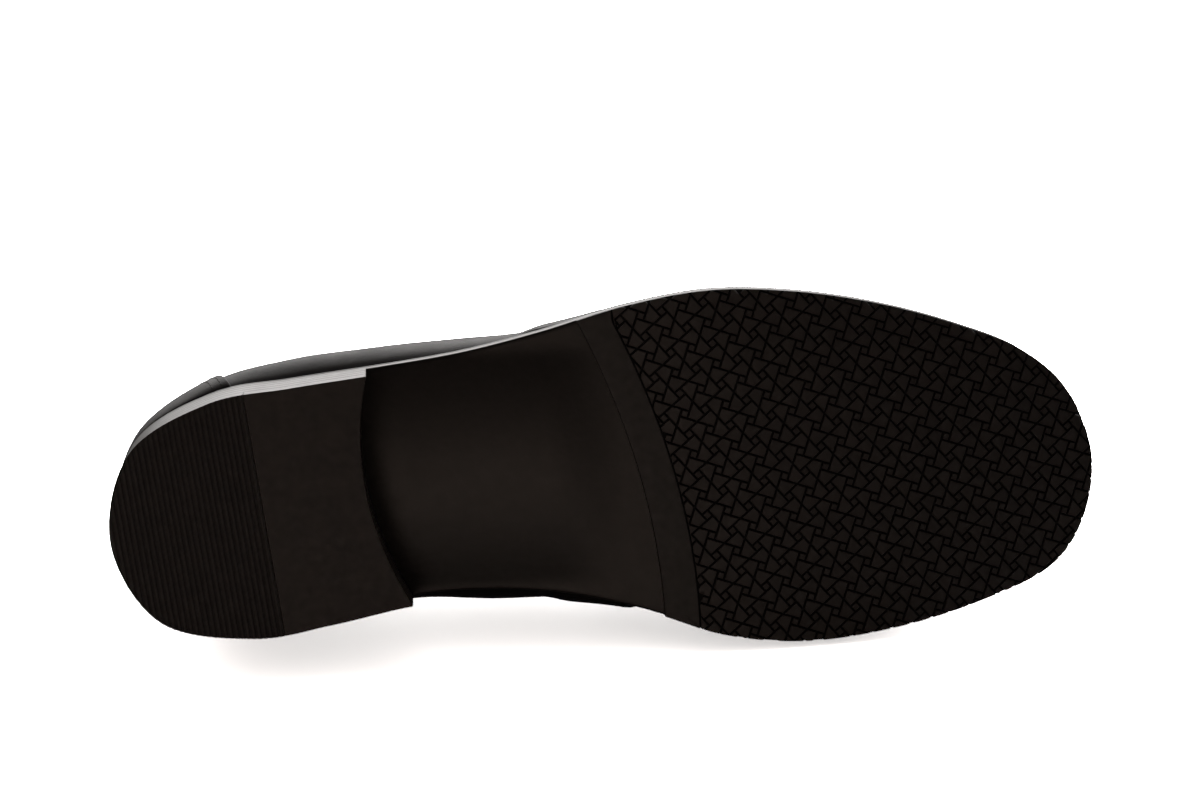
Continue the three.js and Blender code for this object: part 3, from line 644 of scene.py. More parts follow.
@functools.cache
def sole_leather():
    """Dyed sole face: brownish black, faintly grained, with a waxed shine."""
    tone = tuple(bpy.context.scene.shoe_finish.sole)
    f = Finish("dyed_sole_face", tone, 0.33, 0.36)
    f.colour_by(f.noise(90, 5), (0.3, toned(tone, 0.92)), (0.72, toned(tone, 1.08)))
    f.rough_by(f.noise(220, 5), 0.3, 0.35)
    f.bump(f.noise(700, 5), 0.00006, 0.5)
    f.bump(f.cells(1700), 0.00003, 0.35)
    return f.material


@functools.cache
def rubber(name, tone, roughness):
    """Moulded rubber: matt, with a fine tooth and a little bloom."""
    f = Finish(name, tone, roughness, 0.45)
    f.colour_by(f.noise(140, 5), (0.3, toned(tone, 0.8)), (0.72, toned(tone, 1.3)))
    f.rough_by(f.noise(400, 4), roughness - 0.07, roughness + 0.08)
    f.bump(f.noise(2400, 4), 0.00002, 0.6)
    return f.material


@functools.cache
def waxed_thread():
    """Waxed black thread: a fine twist of fibres in its relief, slightly uneven in its shine."""
    f = Finish("waxed_thread", (0.014, 0.013, 0.013), 0.55)
    f.bump(f.noise(5200, 2, f.at((1, 1, 0.6))), 0.00005, 0.7)
    f.rough_by(f.noise(900, 2), 0.45, 0.62)
    return f.material


@functools.cache
def plain_metal(name, tone, roughness):
    """Bare or blackened metal with fine scuffs in its gloss."""
    f = Finish(name, tone, roughness, 0.5, 1.0)
    f.rough_by(f.noise(600, 4), roughness - 0.06, roughness + 0.1)
    f.bump(f.noise(1500, 3), 0.00002, 0.4)
    return f.material


@functools.cache
def board(name, tone, grain):
    """Pressed board or cork: grains with darker middles, grain of them to the metre."""
    f = Finish(name, tone, 0.85, 0.25)
    f.colour_by(f.cells(grain, "F1"), (0.15, toned(tone, 0.62)), (0.8, tone))
    f.bump(f.noise(grain * 1.5, 4), 0.0001, 0.7)
    return f.material


@functools.cache
def lace_cotton():
    """Waxed cotton braid: its fibres follow the lace's own UV map."""
    f = Finish("lace_cotton", (0.011, 0.0105, 0.0105), 0.6, 0.35)
    fibres = f.noise(1.0, 3, f.at((60, 900, 1), "UV"))
    f.bump(fibres, 0.00006, 0.7)
    f.colour_by(fibres, (0.3, (0.008, 0.0075, 0.0075)), (0.7, (0.02, 0.019, 0.019)))
    return f.material


# ---- Stitches --------------------------------------------------------------------------------
def unit_bead():
    """A small closed ellipsoid of 24 faces: poles and three rings of six."""
    rings = []
    for lift in (-0.72, 0.0, 0.72):
        wide = math.sqrt(1 - lift * lift)
        a = np.arange(6) * math.pi / 3
        rings.append(np.stack([np.full(6, lift), wide * np.cos(a), wide * np.sin(a)], 1))
    points = np.vstack([[-1, 0, 0], *rings, [1, 0, 0]])
    k = np.arange(6)
    n = (k + 1) % 6
    quads = [np.stack([a + k, a + n, a + 6 + n, a + 6 + k], 1) for a in (1, 7)]
    caps = [np.stack([0 * k, 1 + n, 1 + k], 1), np.stack([0 * k + 19, 13 + k, 13 + n], 1)]
    return points, np.concatenate(quads), np.concatenate(caps)


def stitch_rows(rows, thread):
    """Beads laid end to end along rows of (points, normals, pitch); each bead is one stitch.

    A bead is the unit bead stretched along its row by 0.43 of the pitch, across it by the
    thread's radius and outwards by 0.8 of that.
    """
    base, quads, caps = unit_bead()
    all_points, faces, start = [], [], 0
    for points, normals, pitch in rows:
        run = run_of(points)
        count = max(2, int(run[-1] / pitch))
        at = (np.arange(count) + 0.5) * run[-1] / count
        along = unit(at_run(at + 0.2, run, points) - at_run(at - 0.2, run, points))
        out = unit(at_run(at, run, normals))
        side = unit(np.cross(out, along))
        beads = at_run(at, run, points)[:, None] + (
            base[None, :, 0:1] * (pitch * 0.43) * along[:, None]
            + base[None, :, 1:2] * thread * side[:, None]
            + base[None, :, 2:3] * (thread * 0.8) * out[:, None]
        )
        first = start + np.arange(count)[:, None, None] * len(base)
        all_points.append(beads.reshape(-1, 3))
        faces += (quads[None] + first).reshape(-1, 4).tolist()
        faces += (caps[None] + first).reshape(-1, 3).tolist()
        start += count * len(base)
    return np.vstack(all_points), faces


def thread_piece(name, rows, thread):
    """Makes one piece of all the stitches along rows, with a thread of the given radius."""
    shape = stitch_rows(rows, thread)
    piece = finish_mesh(name, *shape, [waxed_thread()], weld=0, thin=0, islands=True)
    ride_as(piece, "lace_cotton")


def seam_on_last(t, v, offset):
    """A row of stitches on the upper at stations t and heights v, off the last by offset."""
    return skin(t, v, offset), normal(t, v), SEAM_PITCH


# ---- The sole --------------------------------------------------------------------------------
BREAST_OUTER_T = 3.89
BREAST_INNER_T = 4.0
TREAD_OUTER_T = 6.44
TREAD_INNER_T = 7.25
WAIST_CROWN = 2.2
TREAD_OVERHANG = -0.05  # how far the blocks stand out past the sole's edge
TIP_GAP_T = GAP / 150  # half the gap between tip and top piece, in stations
TOP_PIECE_ROOM = 0.05  # air over the top piece and the tip
RIB_DEPTH = 0.38
WELT_GROOVE = 2.45  # from the sole's edge to the groove that holds the welt's stitches
PAD_DEPTH = 1.15  # height of the tread's grooves above the blocks' faces
BAND_WIDTH = 10.6
# Inset and rise of each layer of a block: in the pad, at the rounded rim, and on the face.
BLOCK_LAYERS = ((0.30, PAD_DEPTH - TREAD_T + 0.05), (0.33, 0.12 - TREAD_T), (0.41, -TREAD_T))
BLOCK_LEAST = 0.12  # blocks with less than this share of their face on the pad are left out
TREAD_ANCHOR = np.array([65.24, -26.87]) + FRAME_SHIFT
TREAD_TURN = math.radians(35.5)


def flat(height):
    """A level face at a height."""
    return lambda x, y: np.full_like(x, height)


def over_sole(rise):
    """A face that runs with the outsole's underside, above it by rise."""
    return lambda x, y: underside(x) + rise


def lift_level(share):
    """A face at a share of the way from the top piece to the outsole's underside."""
    return lambda x, y: lerp(TOP_PIECE_T, underside(x), share)


def heel_end(share, bow):
    """The heel's cross line at a share of its length, bowed towards the toe by bow."""
    f = np.linspace(0, 1, 81)
    a = outline(BREAST_OUTER_T * share)
    b = outline(2 * HALF - BREAST_INNER_T * share)
    line = a + (b - a) * f[:, None]
    line[:, 0] += bow * (1 - (2 * f - 1) ** 2)
    return line


def tip_line(move):
    """Stations where the rubber tip ends on the outer and the inner side, moved along by move."""
    t = np.linspace(0.5, BREAST_OUTER_T, 3401)
    tip_x = HEEL_BACK_X + TIP_LENGTH
    outer = np.interp(tip_x - TIP_SKEW / 2, outline(t)[:, 0], t)
    inner = np.interp(tip_x + TIP_SKEW / 2, outline(2 * HALF - t)[:, 0], t)
    return outer + move, 2 * HALF - inner - move


def heel_ring(count=620):
    """The heel seen from above: round the back, then across the hollow breast."""
    arc = outline(np.linspace(-BREAST_INNER_T, BREAST_OUTER_T, 401))
    breast = heel_end(1.0, -BREAST_HOLLOW)
    return closed_ring(np.vstack([arc, breast[1:-1]]), count)


def middle_of(ring):
    """The middle of a ring's box, once for each of its points."""
    return np.broadcast_to((ring.min(0) + ring.max(0)) / 2, ring.shape)


def sole_spine(t):
    """Where the outsole's rows run to: the middle line, fanned at heel and toe."""
    held = np.clip(np.where(t > HALF, 2 * HALF - t, t), 1.35, 12.4)
    return (outline(held) + outline(2 * HALF - held)) / 2


def sole_ring(count=900):
    """The sole's edge all round, and the spine that its faces' rows run to."""
    t = np.linspace(0, 2 * HALF, count, endpoint=False)
    return outline(t), sole_spine(t)


def waist_low(x, y):
    """The outsole's underside, crowned downwards across the waist by a parabola."""
    along = smooth(BREAST_X - 30, BREAST_X + 12, x) * (1 - smooth(-16, 8, x))
    middle = (outline(5.2)[1] + outline(2 * HALF - 5.2)[1]) / 2
    across = 1 - ((y - middle) / 36) ** 2
    return underside(x) - WAIST_CROWN * along * np.clip(across, 0, 1)


def make_lifts():
    """Stacks lifts of dyed leather under the seat, each a plate with barely rounded edges."""
    ring = heel_ring()
    for k in range(HEEL_LIFTS):
        low, high = lift_level(k / HEEL_LIFTS), lift_level((k + 1) / HEEL_LIFTS)
        shape = plate(ring, middle_of(ring), low, high, 0.12, 0.12, 4)
        piece = finish_mesh(f"heel_lift_layer_{k + 1}", *shape, [sole_leather(), polished_edge()])
        paint_walls(piece, 1)
        ride_as(piece, "sole_composition", f"heel_lift_{k + 1}")


def make_top_piece():
    """The smooth front of the heel's rubber, a plate between the tip and the hollow breast."""
    start, end = tip_line(TIP_GAP_T)
    front = heel_end(1.0, -BREAST_HOLLOW)
    outer = outline(np.linspace(start, BREAST_OUTER_T, 61))
    inner = outline(np.linspace(2 * HALF - BREAST_INNER_T, end, 61))
    back = inner[-1] + (outer[0] - inner[-1]) * np.linspace(0, 1, 41)[:, None]
    ring = closed_ring(np.vstack([outer, front[1:-1], inner, back[1:-1]]), 420)
    y = np.clip(ring[:, 1], ring[:, 1].min() + 16, ring[:, 1].max() - 16)
    ends = (back[np.argsort(back[:, 1])], front[np.argsort(front[:, 1])])
    x = sum(np.interp(y, line[:, 1], line[:, 0]) for line in ends) / 2
    centre = np.stack([x, y], 1)
    shape = plate(ring, centre, flat(0.0), flat(TOP_PIECE_T - TOP_PIECE_ROOM), 0.16, 0.12, 6)
    worn = rubber("top_piece_rubber", (0.0240, 0.0164, 0.0128), 0.43)
    piece = finish_mesh("heel_top_front", *shape, [worn, polished_edge()])
    paint_walls(piece, 1)
    ride_as(piece, "top_piece_rubber", "heel_top_piece")


def make_heel_tip():
    """The ribbed rubber tip: rows square to the ribs, over an underside of rounded ridges.

    A groove is as deep as RIB_DEPTH times the share 0.5 + 0.5 cos(way along / pitch) to the
    power 2.2, and fades out at the back and at the tip's front edge.
    """
    start, end = tip_line(-TIP_GAP_T)
    a, b = outline(start), outline(end)
    across = unit((b - a)[None])[0]
    ahead = np.array([across[1], -across[0]])
    arc = outline(np.linspace(end - 2 * HALF, start, 4001))
    u, w = arc @ ahead, arc @ across
    back = u.argmin()
    last_u = a @ ahead
    pitch = bpy.context.scene.shoe_sizes.rib_pitch / MM
    ribs = int((last_u - u[back]) / pitch)
    fine = u[back] + 0.6 * np.linspace(0, 1, 9)[:-1] ** 2
    run = np.concatenate([fine, np.linspace(u[back] + 0.6, last_u, ribs * 10)])
    inner = np.interp(run, u[: back + 1][::-1], w[: back + 1][::-1])
    outer = np.interp(run, u[back:], w[back:])
    f = np.linspace(0, 1, 26)
    side = outer[:, None] + (inner - outer)[:, None] * f
    spot = run[:, None, None] * ahead + side[..., None] * across
    wave = 0.5 + 0.5 * np.cos(2 * math.pi * (last_u - run) / pitch)
    groove = RIB_DEPTH * (wave**2.2) * smooth(u[back] + 0.8, u[back] + 2.2, run)
    groove = groove * (1 - smooth(last_u - 0.35, last_u, run))
    low = np.broadcast_to(groove[:, None, None], spot.shape[:2] + (1,))
    high = np.full(spot.shape[:2] + (1,), TOP_PIECE_T - TOP_PIECE_ROOM)
    top = np.concatenate([spot, high], 2)
    shape = shell(top, np.concatenate([spot, low], 2))
    worn = rubber("ribbed_rubber", (0.0190, 0.0132, 0.0105), 0.45)
    piece = finish_mesh("heel_ribbed_tip", *shape, [worn, polished_edge()], sharp=50)
    paint_walls(piece, 1, 0.2)
    ride_as(piece, "heel_rubber", "heel_rubber_tip")


def make_outsole():
    """The outsole from heel to toe, a plate whose underside is crowned at the waist."""
    shape = plate(*sole_ring(), waist_low, over_sole(OUTSOLE_T), 0.55, 0.15, 16)
    piece = finish_mesh("outsole_leather", *shape, [sole_leather(), polished_edge()])
    paint_walls(piece, 1)
    ride_as(piece, "sole_composition", "outsole")


def make_welt():
    """The welt on the outsole: a profile of inset and rise carried round the edge, and its seam."""
    t = np.linspace(0, 2 * HALF, 1201)
    low, high = OUTSOLE_T + 0.03, OUTSOLE_T + WELT_T
    profile = np.array([
        (12.0, high), (6.0, high), (3.2, high), (2.9, high - 0.03), (2.6, high - 0.22),
        (2.3, high - 0.22), (2.0, high - 0.03), (1.7, high), (0.55, high), (0.3, high - 0.08),
        (0.1, high - 0.28), (0, high - 0.55), (0, low + 0.12), (0.12, low), (12.0, low),
        (12.0, high),
    ])
    spot = outline(*np.broadcast_arrays(t[:, None], profile[:, 0]))
    z = underside(spot[..., 0]) + profile[:, 1]
    grid = np.concatenate([spot, z[..., None]], 2)
    piece = finish_mesh("welt_strip", grid.reshape(-1, 3), grid_faces(grid), [polished_edge()])
    ride_as(piece, "sole_composition", "welt")
    seam = outline(t, np.full_like(t, WELT_GROOVE))
    line = np.concatenate([seam, (welt_top(seam[:, 0]) - 0.12)[:, None]], 1)
    up = np.broadcast_to([0.0, 0.0, 1.0], line.shape)
    part = (t > 2.6) & (t < 2 * HALF - 2.6)
    thread_piece("welt_stitching", [(line[part], up[part], 3.1)], 0.36)


def tread_rear(share):
    """The cross line of the tread pad at a share of its length from its rear edge to the toe."""
    f = np.linspace(0, 1, 121)
    a = outline(lerp(TREAD_OUTER_T, HALF, share))
    b = outline(2 * HALF - lerp(TREAD_INNER_T, HALF, share))
    line = a + (b - a) * f[:, None]
    line[:, 0] += TREAD_BULGE * (1 - share) ** 4 * (1 - (2 * f - 1) ** 2)
    return line


def pad_ring(rear, count):
    """A closed ring: a cross line, and the sole's edge round the toe between the line's ends."""
    t = np.linspace(4, 2 * HALF - 4, 4001)
    edge = outline(t)
    first = np.argmin(np.linalg.norm(edge - rear[0], axis=1))
    final = np.argmin(np.linalg.norm(edge - rear[-1], axis=1))
    return closed_ring(np.vstack([edge[first : final + 1], rear[::-1][1:-1]]), count)


def inside(points, ring):
    """Whether points lie in a closed ring, by counting how often a ray to +X crosses it."""
    x0, y0 = ring[:, 0], ring[:, 1]
    x1, y1 = np.roll(x0, -1), np.roll(y0, -1)
    px, py = points[:, 0:1], points[:, 1:2]
    between = (y0 > py) != (y1 > py)
    rise = np.where(np.abs(y1 - y0) < 1e-12, 1e-12, y1 - y0)
    crossing = x0 + (py - y0) * (x1 - x0) / rise
    return (between & (crossing > px)).sum(1) % 2 == 1


def shrink(corners, inset):
    """Convex polygons, given by their corners, with each side moved inwards by inset."""
    before = unit(corners - np.roll(corners, 1, 1))
    after = unit(np.roll(corners, -1, 1) - corners)
    n0 = np.stack([-before[..., 1], before[..., 0]], -1)
    n1 = np.stack([-after[..., 1], after[..., 0]], -1)
    dot = np.sum(n0 * n1, -1, keepdims=True)
    return corners + (n0 + n1) * inset / (1 + dot)


def tread_polygons(cell):
    """The tread's pattern: squares at the cells' corners and middles, four kites round each.

    The corner squares are turned 15 degrees back and the middle ones 15 degrees on from the
    lattice, and their sides run on to the middles of the cells' edges, which outlines the kites.
    """

    def ray(degrees):
        """The unit vector at an angle from the lattice's first side."""
        a = TREAD_TURN + math.radians(degrees)
        return np.array([math.cos(a), math.sin(a)])

    k = np.arange(-30, 31)
    i, j = np.meshgrid(k, k, indexing="ij")
    corner = TREAD_ANCHOR + cell * (i.ravel()[:, None] * ray(0) + j.ravel()[:, None] * ray(90))
    middle = corner + cell / 2 * (ray(0) + ray(90))
    reach = cell * math.sin(math.radians(15)) / math.sqrt(2)
    squares = []
    for centre, back in ((corner, -15), (middle, 15)):
        corners = [centre + reach * ray(back + 45 + 90 * q) for q in range(4)]
        squares.append(np.stack(corners, 1))
    kites = []
    for a in (0, 90, 180, 270):
        m0 = corner + cell / 2 * ray(a)
        m1 = corner + cell / 2 * ray(a - 90)
        p = corner + reach * ray(a + 30)
        far = corner + cell / math.sqrt(2) * ray(a - 45)
        turned = far + reach * ray(a + 60)
        kites.append(np.stack([m0, p, m1, turned], 1))
    return np.concatenate(squares + kites)


def counter_clockwise(polygons):
    """The polygons, those that run clockwise turned the other way."""
    area = np.cross(polygons[:, 1] - polygons[:, 0], polygons[:, 2] - polygons[:, 0])
    return np.where((area < 0)[:, None, None], polygons[:, ::-1], polygons)


def tread_layers(field, cell):
    """Each block's rings, blocks by layers by points, cut off at the field's edge.

    A ring is the block's polygon shrunk by the layer's inset, with four points to a side. A point
    outside the field goes to the nearest point of its edge.
    """
    polygons = counter_clockwise(tread_polygons(cell))
    low, high = field.min(0) - 6, field.max(0) + 6
    middle = polygons.mean(1)
    polygons = polygons[((middle > low) & (middle < high)).all(1)]
    step = (np.arange(4) / 4)[None, None, :, None]
    layers = []
    for inset, _ in BLOCK_LAYERS:
        corners = shrink(polygons, inset)
        walk = corners[:, :, None] + (np.roll(corners, -1, 1) - corners)[:, :, None] * step
        layers.append(walk.reshape(len(corners), -1, 2))
    rings = np.stack(layers, 1)
    within = inside(rings.reshape(-1, 2), field).reshape(rings.shape[:3])
    kept = within[:, 2].mean(1) > BLOCK_LEAST
    rings, within = rings[kept], within[kept]
    spots = rings.reshape(-1, 2)
    for part in np.array_split(np.flatnonzero(~within.ravel()), 40):
        distance = np.linalg.norm(spots[part][:, None] - field[None], axis=2)
        spots[part] = field[distance.argmin(1)]
    return spots.reshape(rings.shape)


def tread_blocks(field, cell):
    """Points and faces of the blocks: three rings each, a fan over the face and one at the foot."""
    rings = tread_layers(field, cell)
    count, _, around = rings.shape[:3]
    rises = np.array([rise for _, rise in BLOCK_LAYERS])
    z = underside(rings[..., 0]) + rises[None, :, None]
    body = np.concatenate([rings, z[..., None]], 3).reshape(count, -1, 3)
    cap = body[:, -around:].mean(1, keepdims=True)
    foot = body[:, :around].mean(1, keepdims=True)
    points = np.concatenate([body, cap, foot], 1)
    k = np.arange(around)
    n = (k + 1) % around
    walls = [np.stack([a + k, a + n, a + around + n, a + around + k], 1) for a in (0, around)]
    tops = np.stack([2 * around + k, 2 * around + n, 0 * k + 3 * around], 1)
    feet = np.stack([n, k, 0 * k + 3 * around + 1], 1)
    first = (np.arange(count) * points.shape[1])[:, None, None]
    quads = (np.concatenate(walls)[None] + first).reshape(-1, 4).tolist()
    triangles = (np.concatenate([tops, feet])[None] + first).reshape(-1, 3).tolist()
    return points.reshape(-1, 3), quads + triangles


def band_front(rear):
    """The rear edge moved forward by the band's width, its ends put back on the sole's edge."""
    front = rear + [BAND_WIDTH, 0.0]
    edge = outline(np.linspace(4, 2 * HALF - 4, 4001))
    for end in (0, -1):
        other_side = edge[:, 1] * front[end, 1] < 0
        front[end] = edge[np.argmin(np.abs(edge[:, 0] - front[end, 0]) + other_side * 999)]
    return front


def make_tread():
    """The forefoot pad: a base plate, a smooth rear band, and blocks cut off at the pad's edge."""
    rear = tread_rear(0.0)
    ring = pad_ring(rear, 900)
    x = np.clip(ring[:, 0], ring[:, 0].min() + 30, ring[:, 0].max() - 45)
    spine = np.stack([x, np.full_like(x, ring[:, 1].mean())], 1)
    groove = over_sole(PAD_DEPTH - TREAD_T)
    # Painted shade: this darker rubber covers the grooves' floor and the walls of the band and the
    # blocks. It stands in for the shade that falls in the grooves.
    painted_shade_rubber = rubber("groove_rubber", (0.0045, 0.0032, 0.0026), 0.75)
    shape = plate(ring, spine, groove, over_sole(-0.03), 0.2, 0.1, 12)
    piece = finish_mesh("tread_base", *shape, [painted_shade_rubber, polished_edge()])
    paint_walls(piece, 1)
    ride_as(piece, "tread_rubber", "forefoot_tread")

    front = band_front(rear)
    ring = closed_ring(np.vstack([rear, front[::-1]]), 420)
    y = np.clip(ring[:, 1], ring[:, 1].min() + 5, ring[:, 1].max() - 5)
    centre = np.stack([np.interp(y, front[:, 1], (rear[:, 0] + front[:, 0]) / 2), y], 1)
    buried = over_sole(PAD_DEPTH - TREAD_T + 0.1)
    shape = plate(ring, centre, over_sole(-TREAD_T), buried, 0.3, 0.05, 5)
    even = rubber("pad_band_rubber", (0.0130, 0.0092, 0.0072), 0.42)
    # The band's walls take the darker rubber: a painted shadow line along the pad's rear edge.
    piece = finish_mesh("tread_smooth_band", *shape, [even, painted_shade_rubber])
    paint_walls(piece, 1)
    ride_as(piece, "tread_rubber")

    field = pad_ring(front + [0.35, 0], 1400)
    field = field - inwards_of(field) * TREAD_OVERHANG
    shape = tread_blocks(field, bpy.context.scene.shoe_sizes.tread_cell / MM)
    matt = rubber("tread_rubber", (0.0270, 0.0190, 0.0148), 0.44)
    # The blocks' walls take the darker rubber: painted shade down the sides of the grooves.
    piece = finish_mesh(
        "tread_blocks", *shape, [matt, painted_shade_rubber], weld=1e-6, thin=1e-7, islands=True, sharp=38
    )
    paint_walls(piece, 1, 0.5)
    ride_as(piece, "tread_rubber")


# ---- The inside ------------------------------------------------------------------------------
def other_side(side):
    """Turns stations of the lateral half into those of the side named."""
    return lambda t: t if side == "lateral" else 2 * HALF - t


def make_inside():
    """The sock liner on the insole, and the linings of the quarters, as fine leather sheets."""
    t = np.linspace(0, 2 * HALF, 600, endpoint=False)
    ring = outline(t, ring_at(FOOT_INSET, t)[:, 0] + 1.2)
    rise = OUTSOLE_T + WELT_T + GAP + 2.8 + 0.05
    shape = plate(ring, sole_spine(t), over_sole(rise), over_sole(rise + 1.2), 0.1, 0.5, 14)
    piece = finish_mesh("sock_liner_leather", *shape, [lining_leather()])
    ride_as(piece, "lining_leather", "sock_liner")
    for side in ("lateral", "medial"):
        v0 = graded(46, 0.012)[None, :]
        front = meet_vamp(v0)
        t = 0.004 + (front - 0.004) * graded(110, 0.006)[:, None]
        v = v0 * top_edge(t)
        shape = leather_sheet(other_side(side)(t), v, 0.05, LINING_T - 0.05, 0.6)
        piece = finish_mesh(f"quarter_lining_{side}_leather", *shape, [lining_leather()], sharp=60)
        ride_as(piece, "lining_leather", f"quarter_lining_{side}")


# ---- The upper -------------------------------------------------------------------------------
def quarter_seams(at):
    """One quarter's rows of stitches.

    Two run beside its front edge. Three run at a distance in millimetres from the crest or, where
    the facings stop short of it, from their edge.
    """
    rows = []
    line = np.linspace(0.02, 0.985, 160)
    for back in (0.085, 0.175):
        t = quarter_front(line) - back * (1 + 0.35 * line)
        off = quarter_low(t, line) + LEATHER_T
        rows.append(seam_on_last(at(t), line * top_edge(t), off))
    for first, final, count, down in (
        (5.1, 7.95, 160, 2.2), (5.3, 7.75, 120, 14.5), (0.04, 5.1, 240, 2.0)
    ):
        t = np.linspace(first, final, count)
        v = v_short_of(t, facing_short(t) + down)
        off = quarter_low(t, v / top_edge(t)) + LEATHER_T
        rows.append(seam_on_last(at(t), v, off))
    return rows


def make_quarters():
    """The two quarters, from the back seam to the facings, lying on the vamp at their front."""
    rows = []
    for side in ("lateral", "medial"):
        at = other_side(side)
        v0 = graded(70, 0.01)[None, :]
        t = 0.002 + (quarter_front(v0) - 0.002) * graded(170, 0.004)[:, None]
        v = v0 * top_edge(t)
        drape = 0.16 * np.sin(t * 2.1 + 3 * v) * np.sin(v * 5 + t) * smooth(0, 0.3, v)
        low = quarter_low(t, v0) + np.abs(drape) * 0.3
        shape = leather_sheet(at(t), v, low, LEATHER_T)
        piece = finish_mesh(f"quarter_{side}_leather", *shape, [upper_leather()], sharp=60)
        ride_as(piece, "upper_leather", f"quarter_{side}")
        rows += quarter_seams(at)
    v = np.linspace(COUNTER_TOP_V + 0.01, 0.97, 60)
    for t in (0.07, 2 * HALF - 0.07):
        off = np.full_like(v, OUTER_OFFSET + LEATHER_T)
        rows.append(seam_on_last(np.full_like(v, t), v, off))
    thread_piece("quarter_stitching", rows, 0.24)


def make_vamp():
    """The vamp over the toes, one sheet across the ridge, with low waves in its outer face."""
    f = np.linspace(0, 2, 141)[None, :]
    v = np.where(f <= 1, f, 2 - f)
    rear = vamp_rear(v)
    t = rear + (HALF - rear) * graded(120, 0.01)[:, None]
    station = np.where(f <= 1, t, 2 * HALF - t)
    fade = smooth(0, 0.3, v) * (1 - smooth(12, 13.5, t))
    lift = 0.12 * np.sin(t * 3.1) * np.cos(4 * v + t) * fade
    base = skin(station, v, np.full_like(t, OUTER_OFFSET))
    taper = edge_taper(base, 0.8, "ijJ")
    top = skin(station, v, OUTER_OFFSET + LEATHER_T * cut_edge(taper) + lift * taper)
    piece = finish_mesh("vamp_leather", *shell(top, base), [upper_leather()], sharp=60)
    ride_as(piece, "upper_leather", "vamp")


def make_counter():
    """The counter patch round the heel, and the double seam along its front and top edges."""
    v = graded(40, 0.015)[None, :] * COUNTER_TOP_V
    t = lerp(-1, 1, graded(120, 0.006)[:, None]) * counter_front(v)
    shape = leather_sheet(t, v, np.full_like(t, OVERLAY_OFFSET), OVERLAY_T)
    piece = finish_mesh("counter_patch_leather", *shape, [upper_leather()], sharp=60)
    ride_as(piece, "upper_leather", "counter_patch")
    rows = []
    off = np.full(90, OVERLAY_OFFSET + OVERLAY_T)
    v = np.linspace(0.02, 0.98, 90) * COUNTER_TOP_V
    for back in (0.10, 0.22):
        for side in (-1, 1):
            rows.append(seam_on_last(side * (counter_front(v) - back), v, off))
    t = np.linspace(-1, 1, 90) * (counter_front(COUNTER_TOP_V) - 0.1)
    for down in (0.045, 0.1):
        rows.append(seam_on_last(t, np.full_like(t, COUNTER_TOP_V - down / 1.5), off))
    thread_piece("counter_stitching", rows, 0.24)


def make_binding():
    """The rolled binding: a rounded section carried along the topline between the facings.

    The section is wide across the leathers and 2.5 high, its cosine flattened by the power 0.85,
    and it shrinks along a quarter circle at both ends.
    """
    t = np.linspace(-5.15, 5.15, 420)
    edge = top_edge(np.abs(t))
    base = last(t, edge)
    out = normal(t, np.minimum(edge, 0.98))
    up = unit(base - last(t, edge - 0.02))
    around = 20
    turn = np.linspace(0, 2 * math.pi, around + 1)[None, :, None]
    middle = (OUTER_OFFSET + LEATHER_T) / 2
    wide = middle + 0.5
    puff = 1 + 0.02 * np.sin(t * 40)[:, None, None]
    x = wide * np.sign(np.cos(turn)) * np.abs(np.cos(turn)) ** 0.85 * puff
    z = 0.15 + 1.25 * (1 + np.sin(turn))
    ends = np.sqrt(np.clip(1 - ((np.abs(t) - 4.9).clip(0) / 0.25) ** 2, 0.02, 1))[:, None, None]
    x = middle + x * ends
    z = 1.2 + (z - 1.2) * ends
    grid = base[:, None] + out[:, None] * x + up[:, None] * z
    k = np.arange(1, around - 1)
    first = np.stack([0 * k, k + 1, k], 1)
    final = np.stack([0 * k, k, k + 1], 1) + (len(t) - 1) * (around + 1)
    faces = grid_faces(grid) + first.tolist() + final.tolist()
    piece = finish_mesh(
        "topline_binding_leather", grid.reshape(-1, 3), faces, [upper_leather()],
        weld=1e-6, thin=0, islands=True,
    )
    ride_as(piece, "upper_leather", "topline_binding")


def tongue_spot(f, g, depth):
    """The tongue at a share f of its length and g across it, from -1 to 1, depth into it.

    It follows the last under the facings, then leaves it in a straight line that turns steeper,
    and flattens as it rises.
    """
    bend = 0.72
    t = lerp(8.75, 6.15, np.clip(f / bend, 0, 1))
    half_width = 19.5 - 5 * smooth(0.6, 0.85, f)
    sunk = lerp(LACE_ROOM, GAP, smooth(7.8, 8.5, t))
    station = np.where(g <= 0, t, 2 * HALF - t)
    distance = np.abs(g) * half_width
    v = np.where(distance < 0.01, 1.0, v_short_of(station, distance))
    spot = skin(station, v, -(sunk + depth))
    crest = skin(t, np.ones_like(t), -(sunk + depth))
    past = np.clip((f - bend) / (1 - bend), 0, 1)
    slope = lerp(0.3, 1.05, past)
    reach = TONGUE_RISE * past
    flatten = 0.75 * smooth(0.25, 1, past)
    x = lerp(spot[..., 0], crest[..., 0], flatten) - reach * np.cos(slope)
    y = lerp(spot[..., 1], crest[..., 1] + 21 * g, flatten)
    z = lerp(spot[..., 2], crest[..., 2], flatten) + reach * np.sin(slope)
    return np.stack([x, y, z], -1)


def tongue_seam(f, g):
    """A row of stitches on the tongue, just above its outer face."""
    points = tongue_spot(f, g, np.full_like(f, -0.02))
    return points, tongue_spot(f, g, np.full_like(f, -1.0)) - points, SEAM_PITCH


